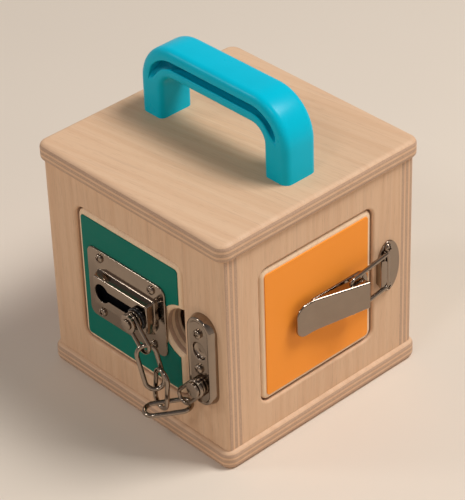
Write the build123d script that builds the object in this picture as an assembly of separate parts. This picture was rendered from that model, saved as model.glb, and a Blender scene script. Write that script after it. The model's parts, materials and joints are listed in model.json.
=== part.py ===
from build123d import *
import math
import os

# Wooden lock box, millimetres. +Z is up and the origin is the middle of the underside.
# The front wall (chain) faces -Y, the right wall (draw latch) +X, the back wall (bolt) +Y
# and the left wall (turn button) -X.
# Each wall has its own frame: X runs along the wall to the right as seen from outside,
# Y is up from the table and Z is out of the wall's outer face.

# Carcass
box_width = 150.0
wall_height = 130.0
ply = 12.0
board_overhang = 2.75
board_corner = 7.0
board_round = 3.4
wall_corner = 3.0
overrun = 1.0

# Dowels
dowel_diameter = 6.0
glue_gap = 0.05
wall_dowel_length = 20.0
board_dowel_length = 20.0
dowel_sink = 8.0
wall_dowel_height_shares = (0.14, 0.35, 0.86)
board_dowel_place_shares = (-0.36, 0.36)

# Door openings and doors
hinge_margin = 26.5
lock_margin = 33.5
head_margin = 19.0
opening_corner = 6.5
opening_ease = 1.6
door_gap = 0.8
door_round = 3.0
face_sheet = 0.6
face_border = 0.5
notch_radius = 15.0
notch_corner = 2.0
stop_gap = 0.3

# Door pivot pins and stop blocks
pin_diameter = 3.0
pin_fit = 0.05
pin_inset = 9.0
pin_reach = 8.0
stop_width = 12.0
stop_height = 18.0
stop_depth = 6.0
stop_lap = 4.0
stop_margin = 5.0

# Carry handle
handle_margin = 15.0
handle_width = 24.0
handle_height = 48.5
handle_leg = 18.0
handle_grip = 18.5
handle_outer_bend = 27.0
handle_inner_bend = 10.0
handle_outer_edge = 4.5
handle_inner_edge = 2.5
groove_lip = 6.4
groove_width = 5.0
groove_depth = 7.0
groove_foot = 26.0
handle_screw_shank = 5.0
handle_screw_head = 9.0
handle_screw_head_height = 3.5
handle_screw_grip = 18.0
handle_screw_play = 0.2
washer_diameter = 13.0
washer_sheet = 1.2

# Plate screws
screw_head = 5.6
screw_head_height = 1.9
screw_rim = 0.5
screw_shank = 2.6
screw_length = 9.0
screw_fit = 0.05
cross_length = 3.6
cross_width = 0.8
cross_depth = 0.9

# Chain track on the front door
track_hinge_margin = 9.5
track_lock_margin = 14.5
track_height = 48.0
track_sheet = 1.2
track_corner = 5.0
track_screw_inset = 11.0
track_screw_rise = 38.0
band_inset = 9.0
band_height = 22.0
band_rise = 6.5
band_draft = 1.4
entry_diameter = 12.0
entry_inset = 8.5
slot_width = 6.6
slot_inset = 7.2

# Sliding button in the track
button_flange = 9.0
button_flange_sheet = 2.0
button_flange_gap = 0.6
button_neck = 5.8
button_collar = 14.0
button_collar_sheet = 2.6
button_ring = 12.0
button_ring_sheet = 1.4
button_play = 0.4
stud_neck = 6.2
stud_cap = 11.6
stud_cap_sheet = 1.6
stud_tip = 6.6
stud_tip_sheet = 1.2
stud_ease = 0.4

# Chain
strap_wire = 2.4
strap_opening = 7.0
strap_reach = 20.5
strap_play = 0.4
button_strap_swing = 41.5
anchor_strap_swing = -42.0
link_length = 30.0
link_width = 14.0
link_wire = 2.8
link_turn = 48.7
first_link_tilt = 20.0
first_link_sink = 0.6
second_link_turn = 124.5
second_link_lean = 6.5
second_link_shift = 2.4
second_link_rise = 1.1
second_link_lead = 1.7
third_link_drop = 7.6
third_link_lead = 7.8
third_link_shift = 5.6
third_link_rise = 7.0

# Chain anchor on the front wall
anchor_width = 21.0
anchor_length = 61.0
anchor_sheet = 1.2
anchor_rise = 5.0
anchor_draft = 1.3
anchor_drop = 7.0
anchor_pitch = 12.0
anchor_first = 19.5
park_diameter = 10.8
park_depth = 3.0
anchor_collar = 10.0
anchor_cap = 9.6
anchor_collar_sheet = 1.4

# Draw latch on the right door
latch_drop = 0.5
latch_sheet = 1.2
latch_width = 16.4
latch_back_reach = 32.5
latch_end_reach = 13.5
latch_screw_reach = 6.9
latch_screw_rise = 8.2
latch_back_screw_reach = 26.5
ear_outer = 7.5
fulcrum_setback = 19.0
fulcrum_height = 8.5
fulcrum_pin = 3.0
fulcrum_eye = 2.9
fulcrum_fit = 0.05
flange_gap = 0.4
lever_end_reach = 2.5
lever_end_height = 13.7
lever_crease_reach = 33.1
lever_crease_height = 4.9
lever_tip_reach = 47.0
lever_root_width = 18.2
lever_crease_width = 21.6
lever_tip_corner = 6.0
bail_reach = 6.5
bail_height = 7.5
bail_eye = 3.0
bail_wire = 2.6
bail_fit = 0.05
bail_width = 25.6
bail_corner = 1.9
bail_bar_height = 3.3
bail_gap = 0.3

# Keeper of the draw latch on the right wall
keeper_height = 35.0
keeper_sheet = 1.2
keeper_edge = 2.5
keeper_width = 18.5
hook_height = 18.0
hook_rise = 4.8
hook_lip = 4.6
hook_sheet = 1.2
keeper_screw_rise = 27.0
keeper_screw_shift = 1.0

# Barrel bolt on the back door and its keeper
bolt_plate_length = 44.0
bolt_plate_height = 24.0
bolt_plate_inset = 2.0
bolt_sheet = 1.2
bolt_diameter = 6.0
bolt_length = 65.0
bolt_fit = 0.1
bolt_axis = 5.2
bolt_guide_wall = 1.6
bolt_guide_length = 9.0
bolt_knob = 4.0
bolt_knob_length = 9.0
bolt_knob_head = 6.5
bolt_knob_head_sheet = 3.0
bolt_travel = 19.0
bolt_lock_lap = 3.0
bolt_keeper_length = 14.0
bolt_keeper_inset = 3.0
bolt_screw_margin = 4.2
bolt_plate_corner = 2.1
staple_gap = 0.6

# Turn button on the left wall
turn_length = 38.0
turn_width = 15.0
turn_sheet = 5.0
turn_ease = 1.5
turn_inset = 12.5
turn_rise = 26.0
turn_washer = 9.0
turn_washer_sheet = 1.0
turn_screw_fit = 0.1

# Sizes that follow from the ones above
half_box = box_width / 2
handle_length = box_width - 2 * handle_margin
board_width = box_width + 2 * board_overhang
side_length = box_width - 2 * ply
wall_mid = ply + wall_height / 2
wall_top = ply + wall_height
box_height = wall_top + ply
opening_width = box_width - hinge_margin - lock_margin
opening_height = wall_height - 2 * head_margin
opening_mid = (hinge_margin - lock_margin) / 2
opening_right = half_box - lock_margin
opening_top = wall_mid + opening_height / 2
door_width = opening_width - 2 * door_gap
door_height = opening_height - 2 * door_gap
door_right = opening_right - door_gap
door_corner = opening_corner - door_gap
pivot_place = opening_mid - door_width / 2 + pin_inset
pivot_levels = (opening_top, opening_top - opening_height)
stile_mid = (opening_right + half_box) / 2

# Frames of the four walls
front = Plane(origin=(0, -half_box, 0), x_dir=(1, 0, 0), z_dir=(0, -1, 0)).location
right = Plane(origin=(half_box, 0, 0), x_dir=(0, 1, 0), z_dir=(1, 0, 0)).location
back = Plane(origin=(0, half_box, 0), x_dir=(-1, 0, 0), z_dir=(0, 1, 0)).location
left = Plane(origin=(-half_box, 0, 0), x_dir=(0, -1, 0), z_dir=(-1, 0, 0)).location


def rod(diameter, length):
    """A round bar standing on its end."""
    return Cylinder(diameter / 2, length, align=(Align.CENTER, Align.CENTER, Align.MIN))


def slab(outline, low, high):
    """An outline drawn in a wall's frame, between two heights off the wall."""
    return Pos(0, 0, low) * extrude(outline, high - low)


def stacked(steps, ease):
    """Round discs on one another, each a diameter and a thickness, with their outer rims eased."""
    body = None
    level = 0
    for diameter, height in steps:
        disc = rod(diameter, height)
        rims = disc.edges().filter_by(GeomType.CIRCLE).group_by(Axis.Z)[-1]
        disc = Pos(0, 0, level) * fillet(rims, ease)
        body = disc if body is None else body + disc
        level = level + height
    return body


def wire_loop(length, width, wire):
    """A chain link lying flat: two straight sides and two half rings of round wire, long along X."""
    reach = (width - wire) / 2
    straight = length - width
    centre_line = SlotCenterToCenter(straight, 2 * reach).wire()
    start = Plane(centre_line @ 0, z_dir=centre_line % 0)
    return sweep(start * Circle(wire / 2), path=centre_line)


# Dowels: at the four corners along Y, and up through both boards
def wall_dowel_places():
    """Middle of each corner dowel, and the end of it that sits in a front or back wall."""
    reach = half_box - ply + dowel_sink - wall_dowel_length / 2
    beside = half_box - ply / 2
    levels = [ply + share * wall_height for share in wall_dowel_height_shares]
    return [(x, y, z) for x in (-beside, beside) for y in (-reach, reach) for z in levels]


def board_dowel_places(joint_level, way):
    """Middles of the dowels between the walls and a board, the board lying in direction way."""
    middle = joint_level + way * (dowel_sink - board_dowel_length / 2)
    beside = half_box - ply / 2
    along_front = [share * box_width for share in board_dowel_place_shares]
    along_side = [share * side_length for share in board_dowel_place_shares]
    places = [(x, y, middle) for x in along_front for y in (-beside, beside)]
    return places + [(x, y, middle) for y in along_side for x in (-beside, beside)]


def lying_dowels(diameter, length):
    return [Pos(*place) * Rot(90, 0, 0) * Cylinder(diameter / 2, length) for place in wall_dowel_places()]


def standing_dowels(joint_level, way, diameter, length):
    places = board_dowel_places(joint_level, way)
    return [Pos(*place) * Cylinder(diameter / 2, length) for place in places]


dowel_bore = dowel_diameter + 2 * glue_gap
corner_bores = lying_dowels(dowel_bore, wall_dowel_length + 2 * glue_gap)
top_bores = standing_dowels(wall_top, 1, dowel_bore, board_dowel_length + 2 * glue_gap)
bottom_bores = standing_dowels(ply, -1, dowel_bore, board_dowel_length + 2 * glue_gap)


def board(level):
    """Top or bottom board: a square with round corners and rounded edges all the way round."""
    body = Box(board_width, board_width, ply, align=(Align.CENTER, Align.CENTER, Align.MIN))
    body = fillet(body.edges().filter_by(Axis.Z), board_corner)
    rims = body.faces().sort_by(Axis.Z)[0].edges() + body.faces().sort_by(Axis.Z)[-1].edges()
    return Pos(0, 0, level) * fillet(rims, board_round)


handle_legs = [-(handle_length - handle_leg) / 2, (handle_length - handle_leg) / 2]


def top_board():
    body = board(wall_top)
    for place in handle_legs:
        body = body - Pos(place, 0, wall_top) * rod(handle_screw_shank + 2 * handle_screw_play, ply)
    return body - top_bores


def pivot_bores(diameter, reach):
    """Room for the upper and the lower pivot pin, reaching as far into the door as into the wall."""
    length = 2 * (reach + door_gap)
    bore = Rot(90, 0, 0) * Cylinder(diameter / 2, length)
    return [Pos(pivot_place, level, -ply / 2) * bore for level in pivot_levels]


def opening_outline():
    return Pos(opening_mid, wall_mid) * RectangleRounded(opening_width, opening_height, opening_corner)


def wall(length, eased_ends):
    """A wall panel in its own frame, with its doorway and the pin bores above and below it."""
    body = Pos(0, wall_mid, -ply / 2) * Box(length, wall_height, ply)
    if eased_ends:
        ends = body.edges().filter_by(Axis.Y).group_by(Axis.Z)[-1]
        body = fillet(ends, wall_corner)
    body = body - slab(opening_outline(), -ply - overrun, overrun)
    rim = body.faces().sort_by(Axis.Z)[-1].inner_wires()[0].edges()
    body = fillet(rim, opening_ease)
    return body - pivot_bores(pin_diameter + 2 * glue_gap, pin_reach)


def door_outline(inset, notched):
    """Door seen from outside, drawn in by inset, with the finger notch in its free edge."""
    width = door_width - 2 * inset
    height = door_height - 2 * inset
    outline = Pos(opening_mid, wall_mid) * RectangleRounded(width, height, door_corner - inset)
    if notched:
        outline = outline - Pos(door_right, wall_mid) * Circle(notch_radius + inset)
    return outline


def door_board(notched):
    """Door panel in its wall's frame: rounded over outside, bored for its pivot pins."""
    outline = door_outline(0, notched)
    if notched:
        tips = outline.vertices().filter_by(lambda v: abs(v.Y - wall_mid) < notch_radius + notch_corner)
        outline = fillet(tips, notch_corner)
    body = slab(outline, -ply + stop_gap, -face_sheet)
    body = fillet(body.faces().sort_by(Axis.Z)[-1].edges(), door_round)
    return body - pivot_bores(pin_diameter + 2 * pin_fit, pin_reach)


def door_face(notched):
    """Coloured sheet on the door, flush with the wall."""
    return slab(door_outline(door_round + face_border, notched), -face_sheet, 0)


def door_pins():
    """Upper and lower pivot pin, each half in the wall and half in the door."""
    pin = Rot(90, 0, 0) * Cylinder(pin_diameter / 2, 2 * pin_reach)
    return [Pos(pivot_place, level, -ply / 2) * pin for level in pivot_levels]


def door_stops():
    """Two blocks inside, behind the door's free edge."""
    rise = opening_height / 2 - stop_margin - stop_height / 2
    place = opening_right - stop_lap + stop_width / 2
    block = Box(stop_width, stop_height, stop_depth)
    return [Pos(place, wall_mid + way * rise, -ply - stop_depth / 2) * block for way in (-1, 1)]


# Screws: a domed head with a cross and a plain shank, head seated at Z = 0
def domed_head(diameter, height):
    radius = diameter / 2
    top = Vector(0, 0, height)
    rim = Vector(radius, 0, screw_rim)
    rise = height - screw_rim
    sphere = (radius * radius + rise * rise) / (2 * rise)
    half_angle = math.asin(radius / sphere) / 2
    middle = Vector(sphere * math.sin(half_angle), 0, height - sphere + sphere * math.cos(half_angle))
    edges = [
        Line((0, 0, 0), (radius, 0, 0)),
        Line((radius, 0, 0), rim),
        ThreePointArc(rim, middle, top),
        Line(top, (0, 0, 0)),
    ]
    return revolve(make_face(edges), Axis.Z)


def plate_screw():
    body = domed_head(screw_head, screw_head_height)
    level = screw_head_height - cross_depth / 2
    for length, width in ((cross_length, cross_width), (cross_width, cross_length)):
        body = body - Pos(0, 0, level) * Box(length, width, cross_depth)
    return body + Pos(0, 0, -screw_length) * rod(screw_shank, screw_length)


def plate_screws(places, level):
    return [Pos(along, up, level) * plate_screw() for along, up in places]


def screw_bores(places):
    """Round holes for the shanks of plate screws, through a plate and into the wood behind it."""
    bore = screw_shank + 2 * screw_fit
    depth = screw_length + overrun
    return [Pos(along, up, -depth) * rod(bore, 2 * depth) for along, up in places]


# Carry handle
def arch(width, height, bend):
    """An upright outline from the foot line up, with its two top corners bent."""
    outline = Pos(0, height / 2) * Rectangle(width, height)
    return fillet(outline.vertices().group_by(Axis.Y)[-1], bend)


def handle():
    inner_width = handle_length - 2 * handle_leg
    inner_height = handle_height - handle_grip
    outer = arch(handle_length, handle_height, handle_outer_bend)
    inner = arch(inner_width, inner_height, handle_inner_bend)
    body = Pos(0, 0, -handle_width / 2) * extrude(outer - inner, handle_width)

    def rims(body, inside):
        """Edges of the two broad faces, without the feet: those of the hand hole, or the others."""
        def wanted(edge):
            place = edge.center()
            on_face = abs(abs(place.Z) - handle_width / 2) < glue_gap
            by_hole = abs(place.X) < inner_width / 2 + glue_gap and place.Y < inner_height + glue_gap
            return on_face and place.Y > glue_gap and by_hole == inside
        return body.edges().filter_by(wanted)

    body = fillet(rims(body, False), handle_outer_edge)
    body = fillet(rims(body, True), handle_inner_edge)
    low = groove_lip
    high = groove_lip + groove_width
    band = arch(inner_width + 2 * high, inner_height + high, handle_inner_bend + high)
    band = band - arch(inner_width + 2 * low, inner_height + low, handle_inner_bend + low)
    band = band - Pos(0, groove_foot / 2) * Rectangle(handle_length, groove_foot)
    for level in (-handle_width / 2 - overrun, handle_width / 2 - groove_depth):
        body = body - slab(band, level, level + groove_depth + overrun)
    body = Pos(0, 0, box_height) * Rot(90, 0, 0) * body
    bore = handle_screw_shank + 2 * glue_gap
    for place in handle_legs:
        body = body - Pos(place, 0, box_height - overrun) * rod(bore, handle_screw_grip + overrun)
    return body


def handle_screws():
    """Two screws from inside the box, up through the top board into the handle's feet."""
    screws = []
    seat = wall_top - washer_sheet
    for place in handle_legs:
        shank = rod(handle_screw_shank, washer_sheet + ply + handle_screw_grip - overrun)
        head = Rot(180, 0, 0) * domed_head(handle_screw_head, handle_screw_head_height)
        screws.append(Pos(place, 0, seat) * (shank + head))
    return screws


def handle_washers():
    hole = handle_screw_shank + 2 * handle_screw_play
    ring = rod(washer_diameter, washer_sheet) - rod(hole, washer_sheet)
    return [Pos(place, 0, wall_top - washer_sheet) * ring for place in handle_legs]


# Door chain. The track lies on the front door, the anchor on the wall's lock side.
track_left = opening_right - opening_width + track_hinge_margin
track_right = opening_right - track_lock_margin
track_length = track_right - track_left
track_mid = (track_left + track_right) / 2
track_screw_span = track_length - 2 * track_screw_inset
band_length = track_length - 2 * band_inset
track_places = [
    (track_mid + way * track_screw_span / 2, wall_mid + up * track_screw_rise / 2)
    for way in (-1, 1)
    for up in (-1, 1)
]
entry_place = track_mid - band_length / 2 + entry_inset
button_place = track_mid + band_length / 2 - slot_inset


def raised_band(shrink, low, high):
    """The track's raised band, narrowing outwards, drawn in by shrink on every side."""
    foot = Rectangle(band_length - 2 * shrink, band_height - 2 * shrink)
    crown = Rectangle(band_length - 2 * shrink - 2 * band_draft, band_height - 2 * shrink - 2 * band_draft)
    return Pos(track_mid, wall_mid) * loft([Pos(0, 0, low) * foot, Pos(0, 0, high) * crown])


def chain_track():
    outline = Pos(track_mid, wall_mid) * RectangleRounded(track_length, track_height, track_corner)
    plate = slab(outline, 0, track_sheet)
    band = raised_band(0, 0, band_rise)
    crown = band.faces().sort_by(Axis.Z)[-1].edges()
    slopes = band.edges().filter_by(lambda e: abs(e.center().Z - band_rise / 2) < track_sheet)
    band = fillet(crown + slopes, track_sheet)
    body = plate + band
    body = body - raised_band(track_sheet, -overrun, band_rise - track_sheet)
    entry = Pos(entry_place, wall_mid) * Circle(entry_diameter / 2)
    slot_mid = (entry_place + button_place) / 2
    slot = Pos(slot_mid, wall_mid) * SlotCenterToCenter(button_place - entry_place, slot_width)
    body = body - slab(entry + slot, track_sheet, band_rise + overrun)
    return body - screw_bores(track_places)


button_seat = band_rise + button_play + button_collar_sheet + button_ring_sheet
strap_level = button_seat + strap_wire / 2 + strap_play


def chain_button():
    """Round button: a flange behind the slot, a neck in it, and collars and a cap outside."""
    flange_low = band_rise - track_sheet - button_flange_gap - button_flange_sheet
    neck_length = button_flange_gap + track_sheet + button_play
    steps = [
        (button_flange, button_flange_sheet),
        (button_neck, neck_length),
        (button_collar, button_collar_sheet),
        (button_ring, button_ring_sheet),
        (stud_neck, strap_wire + 2 * strap_play),
        (stud_cap, stud_cap_sheet),
        (stud_tip, stud_tip_sheet),
    ]
    return Pos(button_place, wall_mid, flange_low) * stacked(steps, stud_ease)


strap_width = strap_opening + 2 * strap_wire
strap_span = strap_reach - strap_width / 2


def strap(place, up, level, swing):
    """Oblong wire strap hung on a stud, swung from straight down towards +X."""
    loop = wire_loop(strap_span + strap_width, strap_width, strap_wire)
    return Pos(place, up, level) * Rot(0, 0, swing - 90) * Pos(strap_span / 2, 0, 0) * loop


def hanging_way(swing):
    """Direction of something that hangs in the wall's plane, swung from straight down towards +X."""
    return Vector(math.sin(math.radians(swing)), -math.cos(math.radians(swing)), 0)


# Places of the links, in the front wall's frame. across is the level direction that the first link
# spreads in, and lead is the level direction at right angles to it, away from the box.
across = Vector(math.cos(math.radians(link_turn)), 0, -math.sin(math.radians(link_turn)))
lead = Vector(math.sin(math.radians(link_turn)), 0, math.cos(math.radians(link_turn)))
button_strap_way = hanging_way(button_strap_swing)
first_link_way = hanging_way(first_link_tilt)
link_span = link_length - link_wire
first_top = Vector(button_place, wall_mid, strap_level) + button_strap_way * (strap_span + first_link_sink)
first_mid = first_top + first_link_way * (link_span / 2)
first_low = first_top + first_link_way * link_span
second_mid = first_low + across * second_link_shift + lead * second_link_lead
second_mid = second_mid + Vector(0, second_link_rise, 0)
third_mid = first_low + across * third_link_shift + lead * third_link_lead
third_mid = third_mid - Vector(0, third_link_drop, 0)


def chain_link_first():
    """Hangs in the strap, facing out over the front corner."""
    loop = wire_loop(link_length, link_width, link_wire)
    return Pos(first_mid) * Rot(0, 0, first_link_tilt) * Rot(0, link_turn, 0) * Rot(0, 0, 90) * loop


def chain_link_second():
    """Stands in the first link and leans on it, turned partly edge on."""
    loop = wire_loop(link_length, link_width, link_wire)
    upright = Rot(0, 0, 90 + second_link_lean) * loop
    return Pos(second_mid) * Rot(0, link_turn + second_link_turn, 0) * upright


def chain_link_third():
    """Lies nearly level through the second link, its far end at the anchor's strap."""
    loop = wire_loop(link_length, link_width, link_wire)
    return Pos(third_mid) * Rot(0, link_turn, 0) * Rot(0, 0, third_link_rise) * Rot(90, 0, 0) * loop


anchor_mid = wall_mid - anchor_drop
anchor_levels = [anchor_mid + anchor_first - step * anchor_pitch for step in range(4)]
anchor_places = [(stile_mid, anchor_levels[0]), (stile_mid, anchor_levels[2])]
anchor_stud_level = anchor_levels[3]


def raised_anchor(shrink, low, high):
    """Long round-ended shape, narrowing outwards."""
    straight = anchor_length - anchor_width
    foot = SlotCenterToCenter(straight, anchor_width - 2 * shrink)
    crown = SlotCenterToCenter(straight, anchor_width - 2 * shrink - 2 * anchor_draft)
    body = loft([Pos(0, 0, low) * foot, Pos(0, 0, high) * crown])
    return Pos(stile_mid, anchor_mid) * Rot(0, 0, 90) * body


def chain_anchor():
    """Pressed plate with two screws, a dished parking hole for the button and the stud's hole."""
    body = raised_anchor(0, 0, anchor_rise)
    body = fillet(body.faces().sort_by(Axis.Z)[-1].edges(), anchor_sheet)
    stud_bore = stud_neck + 2 * glue_gap
    for level, diameter in ((anchor_levels[1], park_diameter), (anchor_stud_level, stud_bore)):
        body = body - Pos(stile_mid, level, anchor_rise - park_depth) * rod(diameter, park_depth + overrun)
    return body - screw_bores(anchor_places)


anchor_strap_level = anchor_rise + anchor_collar_sheet + strap_wire / 2 + strap_play


def chain_anchor_stud():
    steps = [
        (stud_neck, park_depth),
        (anchor_collar, anchor_collar_sheet),
        (stud_neck, strap_wire + 2 * strap_play),
        (anchor_cap, stud_cap_sheet),
    ]
    return Pos(stile_mid, anchor_stud_level, anchor_rise - park_depth) * stacked(steps, stud_ease)


def button_strap():
    return strap(button_place, wall_mid, strap_level, button_strap_swing)


def anchor_strap():
    return strap(stile_mid, anchor_stud_level, anchor_strap_level, anchor_strap_swing)


# Draw latch. Its middle line is a little below the door's, and its places are reached from the lever's pin.
latch_mid = wall_mid - latch_drop
fulcrum_place = opening_right - fulcrum_setback
latch_back = fulcrum_place - latch_back_reach
latch_end = fulcrum_place + latch_end_reach
latch_screw_place = fulcrum_place + latch_screw_reach
latch_back_screw_place = fulcrum_place - latch_back_screw_reach
lever_end = fulcrum_place + lever_end_reach
lever_crease = fulcrum_place - lever_crease_reach
lever_tip = fulcrum_place - lever_tip_reach
bail_place = fulcrum_place - bail_reach
latch_places = [(latch_screw_place, latch_mid + way * latch_screw_rise / 2) for way in (-1, 1)]
latch_places = latch_places + [(latch_back_screw_place, latch_mid)]


def sideways(outline, half_low, half_high):
    """A side view, drawn along the wall and out from it, carried from one level to another."""
    return Pos(0, latch_mid + half_high, 0) * Rot(90, 0, 0) * extrude(outline, half_high - half_low)


def latch_base():
    """Plate with a round end and two upstanding ears for the lever's pin."""
    round_mid = latch_end - latch_width / 2
    length = round_mid - latch_back
    outline = Pos((round_mid + latch_back) / 2, latch_mid) * Rectangle(length, latch_width)
    outline = outline + Pos(round_mid, latch_mid) * Circle(latch_width / 2)
    body = slab(outline, 0, latch_sheet)
    ear = Pos(fulcrum_place, fulcrum_height) * Circle(fulcrum_eye)
    ear = ear + Pos(fulcrum_place, fulcrum_height / 2) * Rectangle(2 * fulcrum_eye, fulcrum_height)
    ear = ear - Pos(fulcrum_place, fulcrum_height) * Circle(fulcrum_pin / 2)
    body = body + sideways(ear, ear_outer - latch_sheet, ear_outer)
    body = body + sideways(ear, -ear_outer, latch_sheet - ear_outer)
    return body - screw_bores(latch_places)


flange_inner = ear_outer + flange_gap
flange_outer = flange_inner + latch_sheet


def latch_pin():
    length = 2 * flange_outer + 2 * flange_gap
    return Pos(fulcrum_place, latch_mid, fulcrum_height) * Rot(90, 0, 0) * Cylinder(fulcrum_pin / 2, length)


def lever_profile():
    """Side view of the lever's top sheet: a slope down from the pivot end and a flat finger tip."""
    return make_face(Polyline(
        (lever_end, lever_end_height),
        (lever_crease, lever_crease_height),
        (lever_tip, lever_crease_height),
        (lever_tip, lever_crease_height - latch_sheet),
        (lever_crease, lever_crease_height - latch_sheet),
        (lever_end, lever_end_height - latch_sheet),
        close=True,
    ))


def latch_lever():
    """Bent sheet lever with two side flanges that hold the pivot pin and the bail."""
    sheet = sideways(lever_profile(), -lever_crease_width / 2, lever_crease_width / 2)
    plan = make_face(Polyline(
        (lever_end, latch_mid - lever_root_width / 2),
        (lever_end, latch_mid + lever_root_width / 2),
        (lever_crease, latch_mid + lever_crease_width / 2),
        (lever_tip, latch_mid + lever_crease_width / 2),
        (lever_tip, latch_mid - lever_crease_width / 2),
        (lever_crease, latch_mid - lever_crease_width / 2),
        close=True,
    ))
    plan = fillet(plan.vertices().group_by(Axis.X)[0], lever_tip_corner)
    body = sheet & slab(plan, 0, lever_end_height + overrun)
    slope = (lever_end_height - lever_crease_height) / (lever_end - lever_crease)
    flange_start = bail_place - 2 * bail_eye
    start_height = lever_crease_height + slope * (flange_start - lever_crease)
    hangs = make_face(Polyline(
        (lever_end, lever_end_height - latch_sheet / 2),
        (flange_start, start_height - latch_sheet / 2),
        (flange_start, start_height - latch_sheet),
        (bail_place, bail_height - bail_eye),
        (fulcrum_place, fulcrum_height - fulcrum_eye),
        (lever_end, fulcrum_height - fulcrum_eye / 2),
        close=True,
    ))
    hangs = hangs - Pos(fulcrum_place, fulcrum_height) * Circle(fulcrum_pin / 2 + fulcrum_fit)
    hangs = hangs - Pos(bail_place, bail_height) * Circle(bail_wire / 2 + bail_fit)
    body = body + sideways(hangs, flange_inner, flange_outer)
    return body + sideways(hangs, -flange_outer, -flange_inner)


keeper_left = opening_right + keeper_edge
keeper_mid = keeper_left + keeper_width / 2
keeper_screw_place = keeper_mid - keeper_screw_shift
keeper_places = [(keeper_screw_place, latch_mid + way * keeper_screw_rise / 2) for way in (-1, 1)]
bail_bar_place = keeper_left + hook_lip + bail_gap + bail_wire / 2


def latch_bail():
    """Wire bail: two turned-in ends in the lever, two legs and a bar beyond the keeper's hook."""
    half = (bail_width - bail_wire) / 2
    inner = flange_inner - flange_gap / 2
    bend = FilletPolyline(
        (bail_place, latch_mid + inner, bail_height),
        (bail_place, latch_mid + half, bail_height),
        (bail_bar_place, latch_mid + half, bail_bar_height),
        (bail_bar_place, latch_mid - half, bail_bar_height),
        (bail_place, latch_mid - half, bail_height),
        (bail_place, latch_mid - inner, bail_height),
        radius=bail_corner,
    )
    start = Plane(bend @ 0, z_dir=bend % 0)
    return sweep(start * Circle(bail_wire / 2), path=bend)


def latch_keeper():
    """Oval plate with a hook: a web on the latch's side and a lip bent away from the latch."""
    plate = slab(Pos(keeper_mid, latch_mid) * Ellipse(keeper_width / 2, keeper_height / 2), 0, keeper_sheet)
    web = Box(hook_sheet, hook_height, hook_rise, align=(Align.MIN, Align.CENTER, Align.MIN))
    lip = Box(hook_lip, hook_height, hook_sheet, align=(Align.MIN, Align.CENTER, Align.MAX))
    root = Box(keeper_width / 2, hook_height, keeper_sheet, align=(Align.MIN, Align.CENTER, Align.MIN))
    body = plate + Pos(keeper_left, latch_mid, 0) * (web + root + Pos(0, 0, hook_rise) * lip)
    bend = body.edges().filter_by(Axis.Y).group_by(Axis.Z)[-1].sort_by(Axis.X)[0]
    body = fillet(bend, hook_sheet - glue_gap)
    return body - screw_bores(keeper_places)


# Barrel bolt on the back door, drawn back at rest
bolt_plate_right = door_right - door_round - face_border - bolt_plate_inset
bolt_plate_mid = bolt_plate_right - bolt_plate_length / 2
bolt_keeper_left = opening_right + bolt_keeper_inset
bolt_tip = bolt_keeper_left + bolt_keeper_length + bolt_lock_lap - bolt_travel
bolt_level = wall_mid + notch_radius + bolt_plate_height / 2 + bolt_plate_inset
bolt_screw_reach = bolt_plate_length / 2 - bolt_screw_margin
bolt_screw_rise = bolt_plate_height / 2 - bolt_screw_margin
bolt_plate_places = [
    (bolt_plate_mid + way * bolt_screw_reach, bolt_level + up * bolt_screw_rise)
    for way in (-1, 1)
    for up in (-1, 1)
]
bolt_keeper_mid = bolt_keeper_left + bolt_keeper_length / 2
bolt_keeper_places = [(bolt_keeper_mid, bolt_level + up * bolt_screw_rise) for up in (-1, 1)]


def bolt_plate(place, length):
    outline = RectangleRounded(length, bolt_plate_height, bolt_plate_corner)
    return slab(Pos(place, bolt_level) * outline, 0, bolt_sheet)


def along_bolt(outline, start, length):
    """An outline drawn across the bolt, carried along it."""
    across_bolt = Plane(origin=(start, bolt_level, 0), x_dir=(0, 1, 0), z_dir=(1, 0, 0)).location
    return across_bolt * extrude(outline, length)


def bolt_guide(start, length):
    """Block over the bolt with a round bore for it."""
    outer = bolt_diameter + 2 * bolt_guide_wall
    outline = Pos(0, bolt_axis) * Circle(outer / 2) + Pos(0, bolt_axis / 2) * Rectangle(outer, bolt_axis)
    outline = outline - Pos(0, bolt_axis) * Circle(bolt_diameter / 2 + bolt_fit)
    return along_bolt(outline, start, length)


def bolt_staple(start, length):
    """Square staple that the bolt's end slides under: two uprights and a crosspiece."""
    inner = bolt_diameter + 2 * staple_gap
    crown = bolt_axis + inner / 2
    outer_width = inner + 2 * bolt_sheet
    outer_height = crown + bolt_sheet
    outline = Pos(0, outer_height / 2) * Rectangle(outer_width, outer_height)
    outline = outline - Pos(0, crown / 2) * Rectangle(inner, crown)
    return along_bolt(outline, start, length)


def bolt_base():
    body = bolt_plate(bolt_plate_mid, bolt_plate_length)
    body = body + bolt_guide(bolt_plate_right - bolt_guide_length, bolt_guide_length)
    body = body + bolt_guide(bolt_plate_right - bolt_plate_length, bolt_guide_length)
    return body - screw_bores(bolt_plate_places)


def bolt_keeper():
    body = bolt_plate(bolt_keeper_mid, bolt_keeper_length)
    inset = (bolt_keeper_length - bolt_guide_length) / 2
    body = body + bolt_staple(bolt_keeper_left + inset, bolt_guide_length)
    return body - screw_bores(bolt_keeper_places)


def sliding_bolt():
    """Round bolt with a knob that stands out between its two guides."""
    body = Rot(0, 90, 0) * rod(bolt_diameter, bolt_length)
    body = Pos(bolt_tip - bolt_length, bolt_level, bolt_axis) * body
    body = fillet(body.edges().filter_by(GeomType.CIRCLE), overrun)
    knob_place = bolt_plate_right - bolt_plate_length + bolt_guide_length + bolt_knob_head / 2 + overrun
    head = stacked([(bolt_knob_head, bolt_knob_head_sheet)], stud_ease)
    knob = rod(bolt_knob, bolt_knob_length) + Pos(0, 0, bolt_knob_length) * head
    return body + Pos(knob_place, bolt_level, bolt_axis) * knob


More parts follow.
